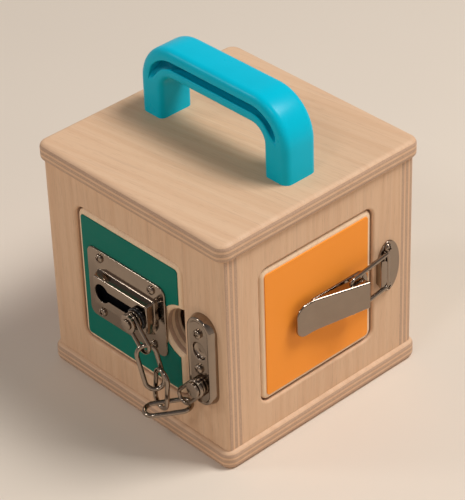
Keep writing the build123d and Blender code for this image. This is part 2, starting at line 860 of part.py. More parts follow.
# Turn button on the left wall, above the finger notch and upright at rest
turn_place = opening_right + turn_inset
turn_level = wall_mid + turn_rise
turn_top = turn_washer_sheet + turn_sheet


def turn_button():
    outline = Pos(turn_place, turn_level) * SlotOverall(turn_length, turn_width, rotation=90)
    body = slab(outline, turn_washer_sheet, turn_top)
    body = fillet(body.faces().sort_by(Axis.Z)[-1].edges(), turn_ease)
    return body - Pos(turn_place, turn_level, 0) * rod(screw_shank + 2 * turn_screw_fit, turn_top + overrun)


def turn_washer_ring():
    ring = rod(turn_washer, turn_washer_sheet) - rod(screw_shank + 2 * screw_fit, turn_washer_sheet)
    return Pos(turn_place, turn_level, 0) * ring


turn_screw_places = [(turn_place, turn_level)]


def turn_screw():
    seat = turn_top + turn_screw_fit
    head = Pos(0, 0, seat) * domed_head(screw_head, screw_head_height)
    shank = Pos(0, 0, -screw_length) * rod(screw_shank, screw_length + seat)
    return Pos(turn_place, turn_level, 0) * (head + shank)


# The whole box: a node's name, its frame and its solid or solids
here = Location()


def doors():
    """Every door with its board, face, pins and stops, and the screw bores of what it carries."""
    nodes = []
    carried = {
        "front": (front, True, track_places),
        "right": (right, False, latch_places),
        "back": (back, True, bolt_plate_places),
        "left": (left, True, []),
    }
    for side, (frame, notched, places) in carried.items():
        bores = screw_bores(places)
        panel = door_board(notched)
        face = door_face(notched)
        nodes.append((side + "_door_board", frame, panel - bores if bores else panel))
        nodes.append((side + "_door_face", frame, face - bores if bores else face))
        nodes.append((side + "_door_pins", frame, door_pins()))
        nodes.append((side + "_door_stops", frame, door_stops()))
    return nodes


def walls():
    """The four walls, bored for dowels and for the fittings that they carry."""
    long_wall = wall(box_width, True)
    short_wall = wall(side_length, False)
    carried = {
        "front_wall": (front, long_wall, anchor_places),
        "right_wall": (right, short_wall, keeper_places),
        "back_wall": (back, long_wall, bolt_keeper_places),
        "left_wall": (left, short_wall, turn_screw_places),
    }
    nodes = []
    for name, (frame, panel, places) in carried.items():
        body = frame * (panel - screw_bores(places))
        nodes.append((name, here, body - corner_bores - top_bores - bottom_bores))
    return nodes


def assembly():
    nodes = [
        ("bottom_board", here, board(0) - bottom_bores),
        ("top_board", here, top_board()),
        ("wall_dowels", here, lying_dowels(dowel_diameter, wall_dowel_length)),
        ("top_dowels", here, standing_dowels(wall_top, 1, dowel_diameter, board_dowel_length)),
        ("bottom_dowels", here, standing_dowels(ply, -1, dowel_diameter, board_dowel_length)),
        ("handle", here, handle()),
        ("handle_screws", here, handle_screws()),
        ("handle_washers", here, handle_washers()),
        ("chain_track", front, chain_track()),
        ("chain_track_screws", front, plate_screws(track_places, track_sheet)),
        ("chain_button", front, chain_button()),
        ("button_strap", front, button_strap()),
        ("chain_link_first", front, chain_link_first()),
        ("chain_link_second", front, chain_link_second()),
        ("chain_link_third", front, chain_link_third()),
        ("chain_anchor", front, chain_anchor()),
        ("chain_anchor_stud", front, chain_anchor_stud()),
        ("chain_anchor_screws", front, plate_screws(anchor_places, anchor_rise)),
        ("anchor_strap", front, anchor_strap()),
        ("latch_base", right, latch_base()),
        ("latch_base_screws", right, plate_screws(latch_places, latch_sheet)),
        ("latch_pin", right, latch_pin()),
        ("latch_lever", right, latch_lever()),
        ("latch_bail", right, latch_bail()),
        ("latch_keeper", right, latch_keeper()),
        ("latch_keeper_screws", right, plate_screws(keeper_places, keeper_sheet)),
        ("bolt_base", back, bolt_base()),
        ("bolt_base_screws", back, plate_screws(bolt_plate_places, bolt_sheet)),
        ("sliding_bolt", back, sliding_bolt()),
        ("bolt_keeper", back, bolt_keeper()),
        ("bolt_keeper_screws", back, plate_screws(bolt_keeper_places, bolt_sheet)),
        ("turn_button", left, turn_button()),
        ("turn_button_washer", left, turn_washer_ring()),
        ("turn_button_screw", left, turn_screw()),
    ]
    return nodes + walls() + doors()


os.makedirs("parts", exist_ok=True)
for name, frame, shape in assembly():
    solids = shape if isinstance(shape, list) else [shape]
    placed = [solid for piece in solids for solid in (frame * piece).solids()]
    export_step(placed[0] if len(placed) == 1 else Compound(children=placed), f"parts/{name}.step")
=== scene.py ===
import json
import math

import bmesh
import bpy
import numpy as np
from bpy.props import FloatProperty, FloatVectorProperty, PointerProperty
from mathutils import Euler, Matrix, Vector
from mathutils.geometry import tessellate_polygon


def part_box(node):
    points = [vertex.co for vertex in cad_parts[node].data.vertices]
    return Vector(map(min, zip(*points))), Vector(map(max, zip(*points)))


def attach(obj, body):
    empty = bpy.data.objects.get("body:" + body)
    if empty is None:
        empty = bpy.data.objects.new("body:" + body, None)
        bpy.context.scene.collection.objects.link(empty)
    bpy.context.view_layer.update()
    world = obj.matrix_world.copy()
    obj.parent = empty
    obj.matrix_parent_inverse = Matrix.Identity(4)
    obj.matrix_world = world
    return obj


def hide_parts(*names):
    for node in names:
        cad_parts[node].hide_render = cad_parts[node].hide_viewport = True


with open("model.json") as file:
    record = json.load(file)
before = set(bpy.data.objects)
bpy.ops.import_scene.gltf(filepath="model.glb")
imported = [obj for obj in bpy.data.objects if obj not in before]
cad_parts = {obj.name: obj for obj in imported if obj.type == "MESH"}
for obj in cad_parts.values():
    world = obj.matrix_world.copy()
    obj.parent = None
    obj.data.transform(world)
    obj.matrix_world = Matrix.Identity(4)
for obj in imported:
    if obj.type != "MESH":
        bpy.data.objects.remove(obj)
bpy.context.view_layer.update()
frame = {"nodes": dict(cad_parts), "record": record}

bl_info = {
    "name": "Wooden lock box",
    "version": (1, 0, 0),
    "blender": (4, 5, 0),
    "location": "3D View > Sidebar > Lock Box",
    "description": "Dresses a plywood practice box with four coloured doors and their locks",
    "category": "Object",
}

record = frame["record"]
body_of = {node: body for body, nodes in record["behaviour"]["bodies"].items() for node in nodes}

mm = 0.001
full_turn = 2 * math.pi
quarter_turn = math.pi / 2
right_angle = 90
half_share = 0.5
x_axis = 0
z_axis = 2

# Fineness of the surfaces: points round a whole circle, a corner, an edge, a wire and a bend
turn_points = 64
corner_points = 13
edge_points = 7
wire_points = 22
bend_points = 25

# Flat ring beside a rounding, doubles that are merged, and the angle above which an edge looks sharp
flat_support = 0.12 * mm
merge_distance = 0.002 * mm
sharp_angle = math.radians(38)

# The four walls: along the wall to the right as seen from outside, up, and out of the wall
wall_axes = {
    "front": np.array([(1, 0, 0), (0, 0, 1), (0, -1, 0)], float),
    "right": np.array([(0, 1, 0), (0, 0, 1), (1, 0, 0)], float),
    "back": np.array([(-1, 0, 0), (0, 0, 1), (0, 1, 0)], float),
    "left": np.array([(0, -1, 0), (0, 0, 1), (-1, 0, 0)], float),
}
half_box = np.array(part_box("front_wall"))[1][0]

# Axes of a shape that is drawn flat and stood up on the wall, and of a rod laid along it
standing_axes = ((1, 0, 0), (0, 0, 1), (0, 1, 0))
lying_axes = ((0, 1, 0), (0, 0, 1), (1, 0, 0))

# Shape of sRGB's curve: a straight run up to a bend, and a power above it
srgb_bend = 0.04045
srgb_slope = 12.92
srgb_offset = 0.055
srgb_power = 2.4
full_byte = 255

# Digits of a length in the sidebar
shown_digits = 5


def linear(hex_colour):
    """An sRGB colour written as hex, as linear red, green, blue and full opacity."""
    channels = np.array(list(bytes.fromhex(hex_colour[1:]))) / full_byte
    curve = ((channels + srgb_offset) / (1 + srgb_offset)) ** srgb_power
    return (*np.where(channels <= srgb_bend, channels / srgb_slope, curve).tolist(), 1.0)


def size(label, words, default):
    """A length that a user would change, in metres."""
    return FloatProperty(
        name=label, description=words, default=default, precision=shown_digits, unit="LENGTH", min=0,
    )


def colour(label, words, hex_colour):
    """A finish's colour that a user would change."""
    return FloatVectorProperty(
        name=label, description=words, default=linear(hex_colour), size=4, subtype="COLOR", min=0, max=1,
    )


class LockBoxWood(bpy.types.PropertyGroup):
    """Sizes of the plywood carcass, the doors, the handle and the turn button."""

    board_corner: size("Board corner", "Corner radius of the top and bottom boards", 7.0 * mm)
    board_round: size("Board edge", "Rounding along the edges of both boards", 3.4 * mm)
    wall_round: size("Wall corner", "Rounding of the box's upright corners", 3.0 * mm)
    opening_width: size("Opening width", "Width of each door opening", 90.0 * mm)
    opening_height: size("Opening height", "Height of each door opening", 92.0 * mm)
    opening_right: size("Opening right", "From a wall's middle to the free side of its opening", 41.5 * mm)
    opening_corner: size("Opening corner", "Corner radius of a door opening", 6.5 * mm)
    opening_ease: size("Opening edge", "Rounding along the outer edge of an opening", 1.6 * mm)
    door_corner: size("Door corner", "Corner radius of a door", 5.7 * mm)
    door_round: size("Door edge", "Rounding along a door's outer edge", 3.0 * mm)
    door_ease: size("Door back edge", "Rounding along a door's inner edge", 0.6 * mm)
    notch_radius: size("Finger notch", "Radius of the finger notch in a door's free edge", 15.0 * mm)
    notch_corner: size("Notch tip", "Rounding where the notch meets the door's edge", 2.0 * mm)
    face_inset: size("Paint border", "Bare border round the coloured face of a door", 3.5 * mm)
    face_ease: size("Paint edge", "Rounding of the coloured face's edge", 0.35 * mm)
    handle_leg: size("Handle leg", "Thickness of the handle's legs", 18.0 * mm)
    handle_grip: size("Handle grip", "Thickness of the handle's bar", 18.5 * mm)
    handle_outer_bend: size("Outer bend", "Outside radius of the handle's bends", 27.0 * mm)
    handle_inner_bend: size("Inner bend", "Inside radius of the handle's bends", 10.0 * mm)
    handle_outer_edge: size("Outer edge", "Rounding of the outer edges, on the broad sides", 4.6 * mm)
    handle_shoulder: size("Shoulder", "Rounding of the outer edges, across the top", 4.6 * mm)
    handle_inner_edge: size("Inner edge", "Rounding of the handle's inner edges", 3.2 * mm)
    groove_lip: size("Groove lip", "From the hand hole to the groove", 6.4 * mm)
    groove_width: size("Groove width", "Width of the groove on the handle's sides", 5.0 * mm)
    groove_depth: size("Groove depth", "Depth of the groove", 10.5 * mm)
    groove_edge: size("Groove edge", "Rounding of the groove's lip and far edge", 0.9 * mm)
    groove_undercut: size("Groove hollow", "How far the groove widens behind its lip", 3.6 * mm)
    turn_ease: size("Turn button edge", "Rounding of the wooden turn button", 1.5 * mm)


class LockBoxMetal(bpy.types.PropertyGroup):
    """Sizes of the chain, the draw latch, the bolt and their screws."""

    sheet: size("Sheet", "Thickness of the pressed plates", 1.2 * mm)
    sheet_ease: size("Sheet edge", "Rounding of a plate's upper edge", 0.55 * mm)
    screw_head: size("Screw head", "Diameter of a plate screw's head", 5.6 * mm)
    screw_rise: size("Screw rise", "Height of a plate screw's head", 1.9 * mm)
    screw_rim: size("Screw rim", "Upright rim of a screw's head", 0.5 * mm)
    cross_length: size("Cross length", "Length of the cross in a screw's head", 3.6 * mm)
    cross_width: size("Cross width", "Width of the cross in a screw's head", 0.8 * mm)
    cross_depth: size("Cross depth", "Depth of the cross in a screw's head", 0.9 * mm)
    track_corner: size("Track corner", "Corner radius of the chain track's plate", 5.0 * mm)
    band_inset: size("Band inset", "From the track's ends to its raised band", 9.0 * mm)
    band_height: size("Band height", "Height of the raised band", 22.0 * mm)
    band_draft: size("Band draft", "How far the band leans in", 1.4 * mm)
    band_round: size("Band edge", "Rounding along the band's crown", 1.2 * mm)
    entry_diameter: size("Keyhole entry", "Diameter of the keyhole's wide end", 12.0 * mm)
    slot_width: size("Keyhole slot", "Width of the keyhole's slot", 6.6 * mm)
    link_length: size("Link length", "Outside length of a chain link", 30.0 * mm)
    link_width: size("Link width", "Outside width of a chain link", 14.0 * mm)
    link_wire: size("Link wire", "Wire of a chain link", 2.8 * mm)
    strap_wire: size("Strap wire", "Wire of a chain strap", 2.4 * mm)
    strap_opening: size("Strap opening", "Clear width inside a strap", 7.0 * mm)
    strap_reach: size("Strap reach", "From the stud to a strap's far end", 20.5 * mm)
    anchor_draft: size("Anchor draft", "How far the anchor plate leans in", 1.3 * mm)
    anchor_round: size("Anchor edge", "Rounding along the anchor plate's rim", 1.5 * mm)
    anchor_sink: size("Anchor sink", "How far the anchor's face lies below its rim", 0.35 * mm)
    park_diameter: size("Parking hole", "Diameter of the anchor's dished hole", 10.8 * mm)
    park_depth: size("Parking depth", "Depth of the anchor's dished hole", 3.0 * mm)
    bail_wire: size("Bail wire", "Wire of the latch's bail", 2.6 * mm)
    bail_corner: size("Bail corner", "Middle radius of the bail's bends", 1.9 * mm)
    lever_tip_corner: size("Lever tip", "Corner radius of the lever's finger tip", 7.5 * mm)
    lever_round: size("Lever edge", "Rounding along the lever's folded edges", 1.2 * mm)
    hook_corner: size("Hook corner", "Corner radius of the keeper's hook", 3.2 * mm)


class LockBoxColours(bpy.types.PropertyGroup):
    """Colours of the finishes."""

    birch_pale: colour("Birch, pale", "Pale ground of the plywood's veneers", "#DEB895")
    birch_dark: colour("Birch, dark", "Darker streaks in the veneers", "#CFA27D")
    door_pale: colour("Door birch, pale", "Pale ground of the doors' bare borders", "#F1D2AE")
    door_dark: colour("Door birch, dark", "Darker streaks in the doors' borders", "#E3BE99")
    ply_pale: colour("Ply edge, long grain", "Edge of the plies that run along", "#E0BC9B")
    ply_dark: colour("Ply edge, end grain", "Edge of the plies that run across", "#B4917A")
    glue: colour("Glue line", "Thin line between two plies", "#8A6953")
    beech_pale: colour("Beech, pale", "Ground of the beech pieces", "#DDB58E")
    beech_dark: colour("Beech, flecks", "Ray flecks of the beech", "#B98659")
    green: colour("Green lacquer", "Front door", "#006E5D")
    orange: colour("Orange lacquer", "Right door", "#FF9C3A")
    yellow: colour("Yellow lacquer", "Back door", "#EFC53A")
    red: colour("Red lacquer", "Left door", "#C8433A")
    turquoise: colour("Turquoise plastic", "Carry handle", "#00BED8")
    # The same black is real on the drum, and painted shade inside the chain track's hollow and behind its
    # keyhole
    black: colour("Black plastic", "Drum of the chain's button", "#17171A")
    # Darker and browner than bright nickel: painted reflection of dark brown surroundings
    nickel: colour("Nickel plate", "Chain, latch and plates", "#9C8C7D")
    zinc: colour("Zinc plate", "Hidden screws and pins", "#B4B7B8")
    floor: colour("Floor", "Pale floor under the box", "#E4D6C5")


# Working with surfaces
def placed(surface, side):
    """A surface given along a wall, up it and out of its outer face, put where that wall stands."""
    points, faces, finish = surface
    axes = wall_axes[side]
    return points @ axes + half_box * axes[2], faces, finish


def moved(surface, place, axes=None):
    """A surface turned onto three new axes and carried to a place."""
    points, faces, finish = surface
    turned_points = points if axes is None else points @ np.array(axes, float)
    return turned_points + np.array(place, float), faces, finish


def node_box(node, side):
    """Lowest and highest place of a CAD node along a wall, up it and out of it."""
    axes = wall_axes[side]
    corners = (np.array(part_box(node)) - half_box * axes[2]) @ axes.T
    return corners.min(axis=0), corners.max(axis=0)


def grid(points, wrap_rows=False, wrap_columns=True, caps=(False, False), finish=0):
    """Squares between neighbouring rows and columns of points. A cap closes the first or the last row."""
    rows, columns = points.shape[:2]
    row = np.arange(rows if wrap_rows else rows - 1)
    column = np.arange(columns if wrap_columns else columns - 1)
    row, column = np.meshgrid(row, column, indexing="ij")
    next_row = (row + 1) % rows
    next_column = (column + 1) % columns
    corners = [
        row * columns + column,
        row * columns + next_column,
        next_row * columns + next_column,
        next_row * columns + column,
    ]
    faces = np.stack(corners, axis=-1).reshape(-1, 4).tolist()
    if caps[0]:
        faces.append(np.arange(columns)[::-1].tolist())
    if caps[1]:
        faces.append((np.arange(columns) + (rows - 1) * columns).tolist())
    return points.reshape(-1, 3), faces, finish


def holed(outer, holes, height, finish=0):
    """A flat face at a height, between an outer outline and the outlines of its holes."""
    loops = [outer, *holes]
    flat = np.concatenate(loops)
    lifted = [np.column_stack([loop, np.zeros(len(loop))]).tolist() for loop in loops]
    triangles = [list(corners) for corners in tessellate_polygon(lifted)]
    return np.column_stack([flat, np.full(len(flat), height)]), triangles, finish


def moulded(outline, steps, caps=(True, True), finish=0):
    """An outline drawn in by each step's inset and lifted to its height, the rings joined in order."""
    insets, heights = zip(*steps)
    rings = [outline(inset) for inset in insets]
    rows = [np.column_stack([ring, np.full(len(ring), height)]) for ring, height in zip(rings, heights)]
    return grid(np.stack(rows), caps=caps, finish=finish)


def rounding(radius, top, inset=0.0):
    """Steps of a quarter circle from an upright side to a flat top, and a narrow flat ring inside it."""
    angle = np.linspace(0, quarter_turn, edge_points)
    insets = inset + radius * (1 - np.cos(angle))
    heights = top - radius * (1 - np.sin(angle))
    return [*zip(insets.tolist(), heights.tolist()), (inset + radius + flat_support, top)]


def undercut(radius, low):
    """Steps of the same quarter circle at a lower edge, from the flat underside out to the side."""
    return [(inset, low - (height - low)) for inset, height in rounding(radius, low)[::-1]]


def smooth_step(value, low, high):
    """Nought below low, one above high, and a smooth rise between."""
    share = np.clip((value - low) / (high - low), 0, 1)
    return share * share * (3 - 2 * share)


def rounded_rectangle(width, height, radius, middle=(0, 0)):
    """Four corner arcs of a rectangle, anticlockwise from the lower right."""
    radius = max(min(radius, width / 2 - flat_support, height / 2 - flat_support), flat_support)
    corner = np.arange(4)[:, None]
    turn = np.linspace(0, quarter_turn, corner_points)[None, :] + (corner - 1) * quarter_turn
    across = np.array([1, 1, -1, -1])[:, None]
    up = np.array([-1, 1, 1, -1])[:, None]
    x = middle[0] + across * (width / 2 - radius) + radius * np.cos(turn)
    y = middle[1] + up * (height / 2 - radius) + radius * np.sin(turn)
    return np.stack([x, y], axis=-1).reshape(-1, 2)


def arc(middle, radius, start, end, count):
    """Points on a circle from one angle to another."""
    angle = np.linspace(start, end, count)
    return np.column_stack([middle[0] + radius * np.cos(angle), middle[1] + radius * np.sin(angle)])


def ellipse(half_width, half_height, middle=(0, 0)):
    """Points round an ellipse."""
    angle = np.linspace(0, full_turn, turn_points, endpoint=False)
    x = middle[0] + half_width * np.cos(angle)
    y = middle[1] + half_height * np.sin(angle)
    return np.column_stack([x, y])


def turned(profile, finish=0):
    """A profile of radius and height carried round an upright axis."""
    angle = np.linspace(0, full_turn, turn_points, endpoint=False)
    radius, height = np.array(profile, float).T
    x = radius[:, None] * np.cos(angle)
    y = radius[:, None] * np.sin(angle)
    z = np.repeat(height[:, None], turn_points, axis=1)
    ends = (radius[0] > 0, radius[-1] > 0)
    return grid(np.stack([x, y, z], axis=-1), caps=ends, finish=finish)


def disc_profile(discs, ease):
    """Profile of round discs on one another, each a radius and two heights, with eased rims."""
    angle = np.linspace(0, quarter_turn, edge_points)
    profile = []
    for radius, low, high in discs:
        inner = radius - ease
        profile += [(inner + ease * math.sin(turn), low + ease * (1 - math.cos(turn))) for turn in angle]
        profile += [(inner + ease * math.cos(turn), high - ease * (1 - math.sin(turn))) for turn in angle]
    return profile


def wire(path, normal, radius, closed=False):
    """Round wire: a circle carried along a flat path. Each ring is the path's point plus the radius
    times cosine along the path's side and sine along the plane's normal."""
    ahead = np.roll(path, -1, axis=0) - np.roll(path, 1, axis=0) if closed else np.gradient(path, axis=0)
    along = ahead / np.linalg.norm(ahead, axis=1, keepdims=True)
    side = np.cross(along, normal)
    angle = np.linspace(0, full_turn, wire_points, endpoint=False)[None, :, None]
    ring = np.cos(angle) * side[:, None, :] + np.sin(angle) * np.array(normal, float)
    points = path[:, None, :] + radius * ring
    return grid(points, wrap_rows=closed, caps=(not closed, not closed))


def oblong_path(length, width):
    """Middle line of an oblong loop lying flat, long along X: two straight sides and two half rings."""
    straight = (length - width) / 2
    right = arc((straight, 0), width / 2, -quarter_turn, quarter_turn, bend_points)
    left = arc((-straight, 0), width / 2, quarter_turn, 3 * quarter_turn, bend_points)
    flat = np.concatenate([right, left])
    return np.column_stack([flat, np.zeros(len(flat))])


def bent_path(corners, radius):
    """A flat line through corners, each inner corner replaced by an arc that touches both its sides."""
    corners = np.array(corners, float)
    runs = [corners[:1]]
    for before, corner, after in zip(corners[:-2], corners[1:-1], corners[2:]):
        back = (before - corner) / np.linalg.norm(before - corner)
        ahead = (after - corner) / np.linalg.norm(after - corner)
        half_angle = math.acos(np.clip(back @ ahead, -1, 1)) / 2
        bisector = (back + ahead) / np.linalg.norm(back + ahead)
        middle = corner + bisector * radius / math.sin(half_angle)
        share = np.linspace(-1, 1, corner_points)[:, None] * (quarter_turn - half_angle)
        across = (ahead - back) / np.linalg.norm(ahead - back)
        runs.append(middle - radius * np.cos(share) * bisector + radius * np.sin(share) * across)
    return np.concatenate([*runs, corners[-1:]])


def spin(axis, degrees):
    """Rotation about one axis, as a square of numbers that row points are multiplied by."""
    return np.array(Matrix.Rotation(math.radians(degrees), 3, axis)).T


def add_piece(node, surfaces, finishes):
    """Joins surfaces into the piece that stands for a CAD node: doubles merged, faces turned outwards."""
    name = f"{node}_shown"
    counts = np.cumsum([0, *(len(surface[0]) for surface in surfaces)])
    points = np.concatenate([surface[0] for surface in surfaces])
    faces = [
        [corner + start for corner in face]
        for start, surface in zip(counts.tolist(), surfaces)
        for face in surface[1]
    ]
    kinds = np.concatenate([np.full(len(surface[1]), surface[2]) for surface in surfaces])
    mesh = bpy.data.meshes.new(name)
    mesh.from_pydata(points.tolist(), [], faces)
    mesh.polygons.foreach_set("material_index", kinds.astype(np.int32))
    work = bmesh.new()
    work.from_mesh(mesh)
    bmesh.ops.remove_doubles(work, verts=work.verts, dist=merge_distance)
    bmesh.ops.dissolve_degenerate(work, edges=work.edges, dist=merge_distance)
    bmesh.ops.recalc_face_normals(work, faces=work.faces)
    work.to_mesh(mesh)
    work.free()
    mesh.shade_smooth()
    mesh.set_sharp_from_angle(angle=sharp_angle)
    for finish in finishes:
        mesh.materials.append(finish)
    piece = bpy.data.objects.new(name, mesh)
    bpy.context.scene.collection.objects.link(piece)
    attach(piece, body_of[node])
    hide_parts(node)


def dress(node, finish):
    """Gives a CAD node that keeps its own shape a finish."""
    mesh = frame["nodes"][node].data
    mesh.materials.clear()
    mesh.materials.append(finish)


# Finishes
def add_node(tree, kind, inputs=None, **settings):
    """Adds one node. Settings go on the node, and each input is a value, a socket to link, or a node whose
    first usable output is linked."""
    node = tree.nodes.new(kind)
    for key, value in settings.items():
        setattr(node, key, value)
    for key, value in (inputs or {}).items():
        if isinstance(value, bpy.types.Node):
            value = next(socket for socket in value.outputs if socket.enabled)
        if isinstance(value, bpy.types.NodeSocket):
            tree.links.new(value, node.inputs[key])
        else:
            node.inputs[key].default_value = value
    return node


def new_finish(name):
    """An empty material, its node tree and the object's own coordinates."""
    material = bpy.data.materials.new(name)
    material.use_nodes = True
    tree = material.node_tree
    tree.nodes.clear()
    place = add_node(tree, "ShaderNodeTexCoord").outputs["Object"]
    return material, tree, place


# Sockets of a colour mix: its share and its two colours
mix_share = 0
mix_first = 6
mix_second = 7

# Noise: its scale where the place is already stretched, and its detail from soft to rough
own_scale = 1.0
soft_detail = 1.0
plain_detail = 2.0
rough_detail = 3.0
haze_detail = 4.0


def clouded(tree, place, cloud_size, detail, shade, dark_share):
    """Clouds of noise, and a colour that they dim towards a share of itself."""
    clouds = add_node(tree, "ShaderNodeTexNoise", {
        "Vector": place, "Scale": 1 / cloud_size, "Detail": detail,
    })
    darker = (*(dark_share * part for part in shade[:3]), 1.0)
    tint = add_node(tree, "ShaderNodeMix", {
        mix_share: clouds, mix_first: shade, mix_second: darker,
    }, data_type="RGBA")
    return clouds, tint


# Marks along the grain: length, width, noise detail, the span of the noise that shows, and strength
streak_marks = (130 * mm, 4.5 * mm, plain_detail, (0.3, 0.75), 0.45)
line_marks = (60 * mm, 1.2 * mm, soft_detail, (0.55, 0.75), 0.18)
pore_marks = (9 * mm, 0.55 * mm, plain_detail, (0.55, 0.72), 0.16)
pore_bump = 0.04 * mm
wood_bump_strength = 0.2
varnish_roughness = (0.5, 0.64)
varnish_specular = 0.35
top_grain_turn = math.radians(-8)
wall_grain_turn = math.radians(1.5)

# Edges of the plywood. Such board usually has nine plies. Fewer are drawn, because nine are too fine to
# show, and the photo shows five to seven.
wall_plies = 7
door_plies = 5
ply_thickness = 12 * mm
ply_waver = 0.3 * mm
ply_waver_size = 33 * mm
fleck_size = 0.55 * mm
fleck_span = (0.25, 0.75)
cross_ply_span = (0.2, -0.2)
glue_span = (0.32, 0.0)
glue_strength = 0.5


def plywood(name, colours, veneer, thickness_axis, start, grain_axis, grain_turn, ply_count):
    """Birch plywood, sanded and clear varnished: pale faces with soft long streaks, thin grain lines and
    fine pores, and edges striped where pale long-grain plies meet darker end grain along glue lines.
    Pores are drawn wider than real ones, which would be too fine to show."""
    material, tree, place = new_finish(name)
    leaning = add_node(tree, "ShaderNodeVectorRotate", {"Vector": place, "Angle": grain_turn},
                       rotation_type="XYZ"[thickness_axis] + "_AXIS")
    marks = ((streak_marks, veneer[1]), (line_marks, colours.ply_dark), (pore_marks, colours.glue))
    face = veneer[0]
    noises = []
    for (along, across, detail, span, strength), shade in marks:
        stretch = np.full(3, 1 / across)
        stretch[grain_axis] = 1 / along
        scaled = add_node(tree, "ShaderNodeVectorMath", {0: leaning, 1: stretch}, operation="MULTIPLY")
        noise = add_node(tree, "ShaderNodeTexNoise", {
            "Vector": scaled, "Scale": own_scale, "Detail": detail,
        })
        share = add_node(tree, "ShaderNodeMapRange", {
            "Value": noise, "From Min": span[0], "From Max": span[1], "To Max": strength,
        }, interpolation_type="SMOOTHSTEP")
        face = add_node(tree, "ShaderNodeMix", {
            mix_share: share, mix_first: face, mix_second: shade,
        }, data_type="RGBA")
        noises.append(noise)

    # Depth into the board, in half waves of the plies
    level = add_node(tree, "ShaderNodeSeparateXYZ", {"Vector": place}).outputs[thickness_axis]
    waver = add_node(tree, "ShaderNodeTexNoise", {
        "Vector": place, "Scale": 1 / ply_waver_size, "Detail": plain_detail,
    })
    waver = add_node(tree, "ShaderNodeMapRange", {
        "Value": waver, "To Min": -ply_waver, "To Max": ply_waver,
    })
    depth = add_node(tree, "ShaderNodeMath", {0: level, 1: -start}, operation="ADD")
    depth = add_node(tree, "ShaderNodeMath", {0: depth, 1: waver}, operation="ADD")
    depth = add_node(tree, "ShaderNodeMath", {
        0: depth, 1: math.pi * ply_count / ply_thickness,
    }, operation="MULTIPLY")
    swing = add_node(tree, "ShaderNodeMath", {0: depth}, operation="SINE")

    # No stripe on the two faces: only between the outer plies
    inside = add_node(tree, "ShaderNodeMath", {
        0: depth, 1: math.pi * half_share,
    }, operation="GREATER_THAN")
    outside = add_node(tree, "ShaderNodeMath", {
        0: depth, 1: math.pi * (ply_count - half_share),
    }, operation="LESS_THAN")
    between = add_node(tree, "ShaderNodeMath", {0: inside, 1: outside}, operation="MULTIPLY")

    flecks = add_node(tree, "ShaderNodeTexNoise", {
        "Vector": place, "Scale": 1 / fleck_size, "Detail": rough_detail,
    })
    fleck_share = add_node(tree, "ShaderNodeMapRange", {
        "Value": flecks, "From Min": fleck_span[0], "From Max": fleck_span[1], "To Min": half_share,
    }, interpolation_type="SMOOTHSTEP")
    end_grain = add_node(tree, "ShaderNodeMix", {
        mix_share: fleck_share, mix_first: colours.ply_pale, mix_second: colours.ply_dark,
    }, data_type="RGBA")
    cross_ply = add_node(tree, "ShaderNodeMapRange", {
        "Value": swing, "From Min": cross_ply_span[0], "From Max": cross_ply_span[1],
    }, interpolation_type="SMOOTHSTEP")
    cross_ply = add_node(tree, "ShaderNodeMath", {0: cross_ply, 1: between}, operation="MULTIPLY")
    wood = add_node(tree, "ShaderNodeMix", {
        mix_share: cross_ply, mix_first: face, mix_second: end_grain,
    }, data_type="RGBA")
    rise = add_node(tree, "ShaderNodeMath", {0: swing}, operation="ABSOLUTE")
    glue_line = add_node(tree, "ShaderNodeMapRange", {
        "Value": rise, "From Min": glue_span[0], "From Max": glue_span[1], "To Max": glue_strength,
    }, interpolation_type="SMOOTHSTEP")
    glue_line = add_node(tree, "ShaderNodeMath", {0: glue_line, 1: between}, operation="MULTIPLY")
    wood = add_node(tree, "ShaderNodeMix", {
        mix_share: glue_line, mix_first: wood, mix_second: colours.glue,
    }, data_type="RGBA")

    rough = add_node(tree, "ShaderNodeMapRange", {
        "Value": noises[0], "To Min": varnish_roughness[0], "To Max": varnish_roughness[1],
    })
    bump = add_node(tree, "ShaderNodeBump", {
        "Height": noises[-1], "Strength": wood_bump_strength, "Distance": pore_bump,
    })
    shader = add_node(tree, "ShaderNodeBsdfPrincipled", {
        "Base Color": wood, "Roughness": rough, "Specular IOR Level": varnish_specular, "Normal": bump,
    })
    add_node(tree, "ShaderNodeOutputMaterial", {"Surface": shader})
    return material


ray_along = 6 * mm
ray_across = 0.9 * mm
ray_span = (0.45, 0.75)
ray_bump = 0.05 * mm
beech_roughness = 0.5


def beech(name, colours):
    """Beech, turned or sawn and sanded: warm pale ground with short darker ray flecks along the grain."""
    material, tree, place = new_finish(name)
    stretch = (1 / ray_across, 1 / ray_across, 1 / ray_along)
    scaled = add_node(tree, "ShaderNodeVectorMath", {0: place, 1: stretch}, operation="MULTIPLY")
    rays = add_node(tree, "ShaderNodeTexNoise", {
        "Vector": scaled, "Scale": own_scale, "Detail": rough_detail,
    })
    share = add_node(tree, "ShaderNodeMapRange", {
        "Value": rays, "From Min": ray_span[0], "From Max": ray_span[1],
    }, interpolation_type="SMOOTHSTEP")
    wood = add_node(tree, "ShaderNodeMix", {
        mix_share: share, mix_first: colours.beech_pale, mix_second: colours.beech_dark,
    }, data_type="RGBA")
    bump = add_node(tree, "ShaderNodeBump", {
        "Height": rays, "Strength": wood_bump_strength, "Distance": ray_bump,
    })
    shader = add_node(tree, "ShaderNodeBsdfPrincipled", {
        "Base Color": wood, "Roughness": beech_roughness, "Normal": bump,
    })
    add_node(tree, "ShaderNodeOutputMaterial", {"Surface": shader})
    return material


lacquer_cloud = 25 * mm
lacquer_shade_share = 0.97
lacquer_roughness = (0.34, 0.48)
lacquer_specular = 0.1
peel_size = 1.111 * mm
peel_bump = 0.06 * mm
peel_bump_strength = 0.12


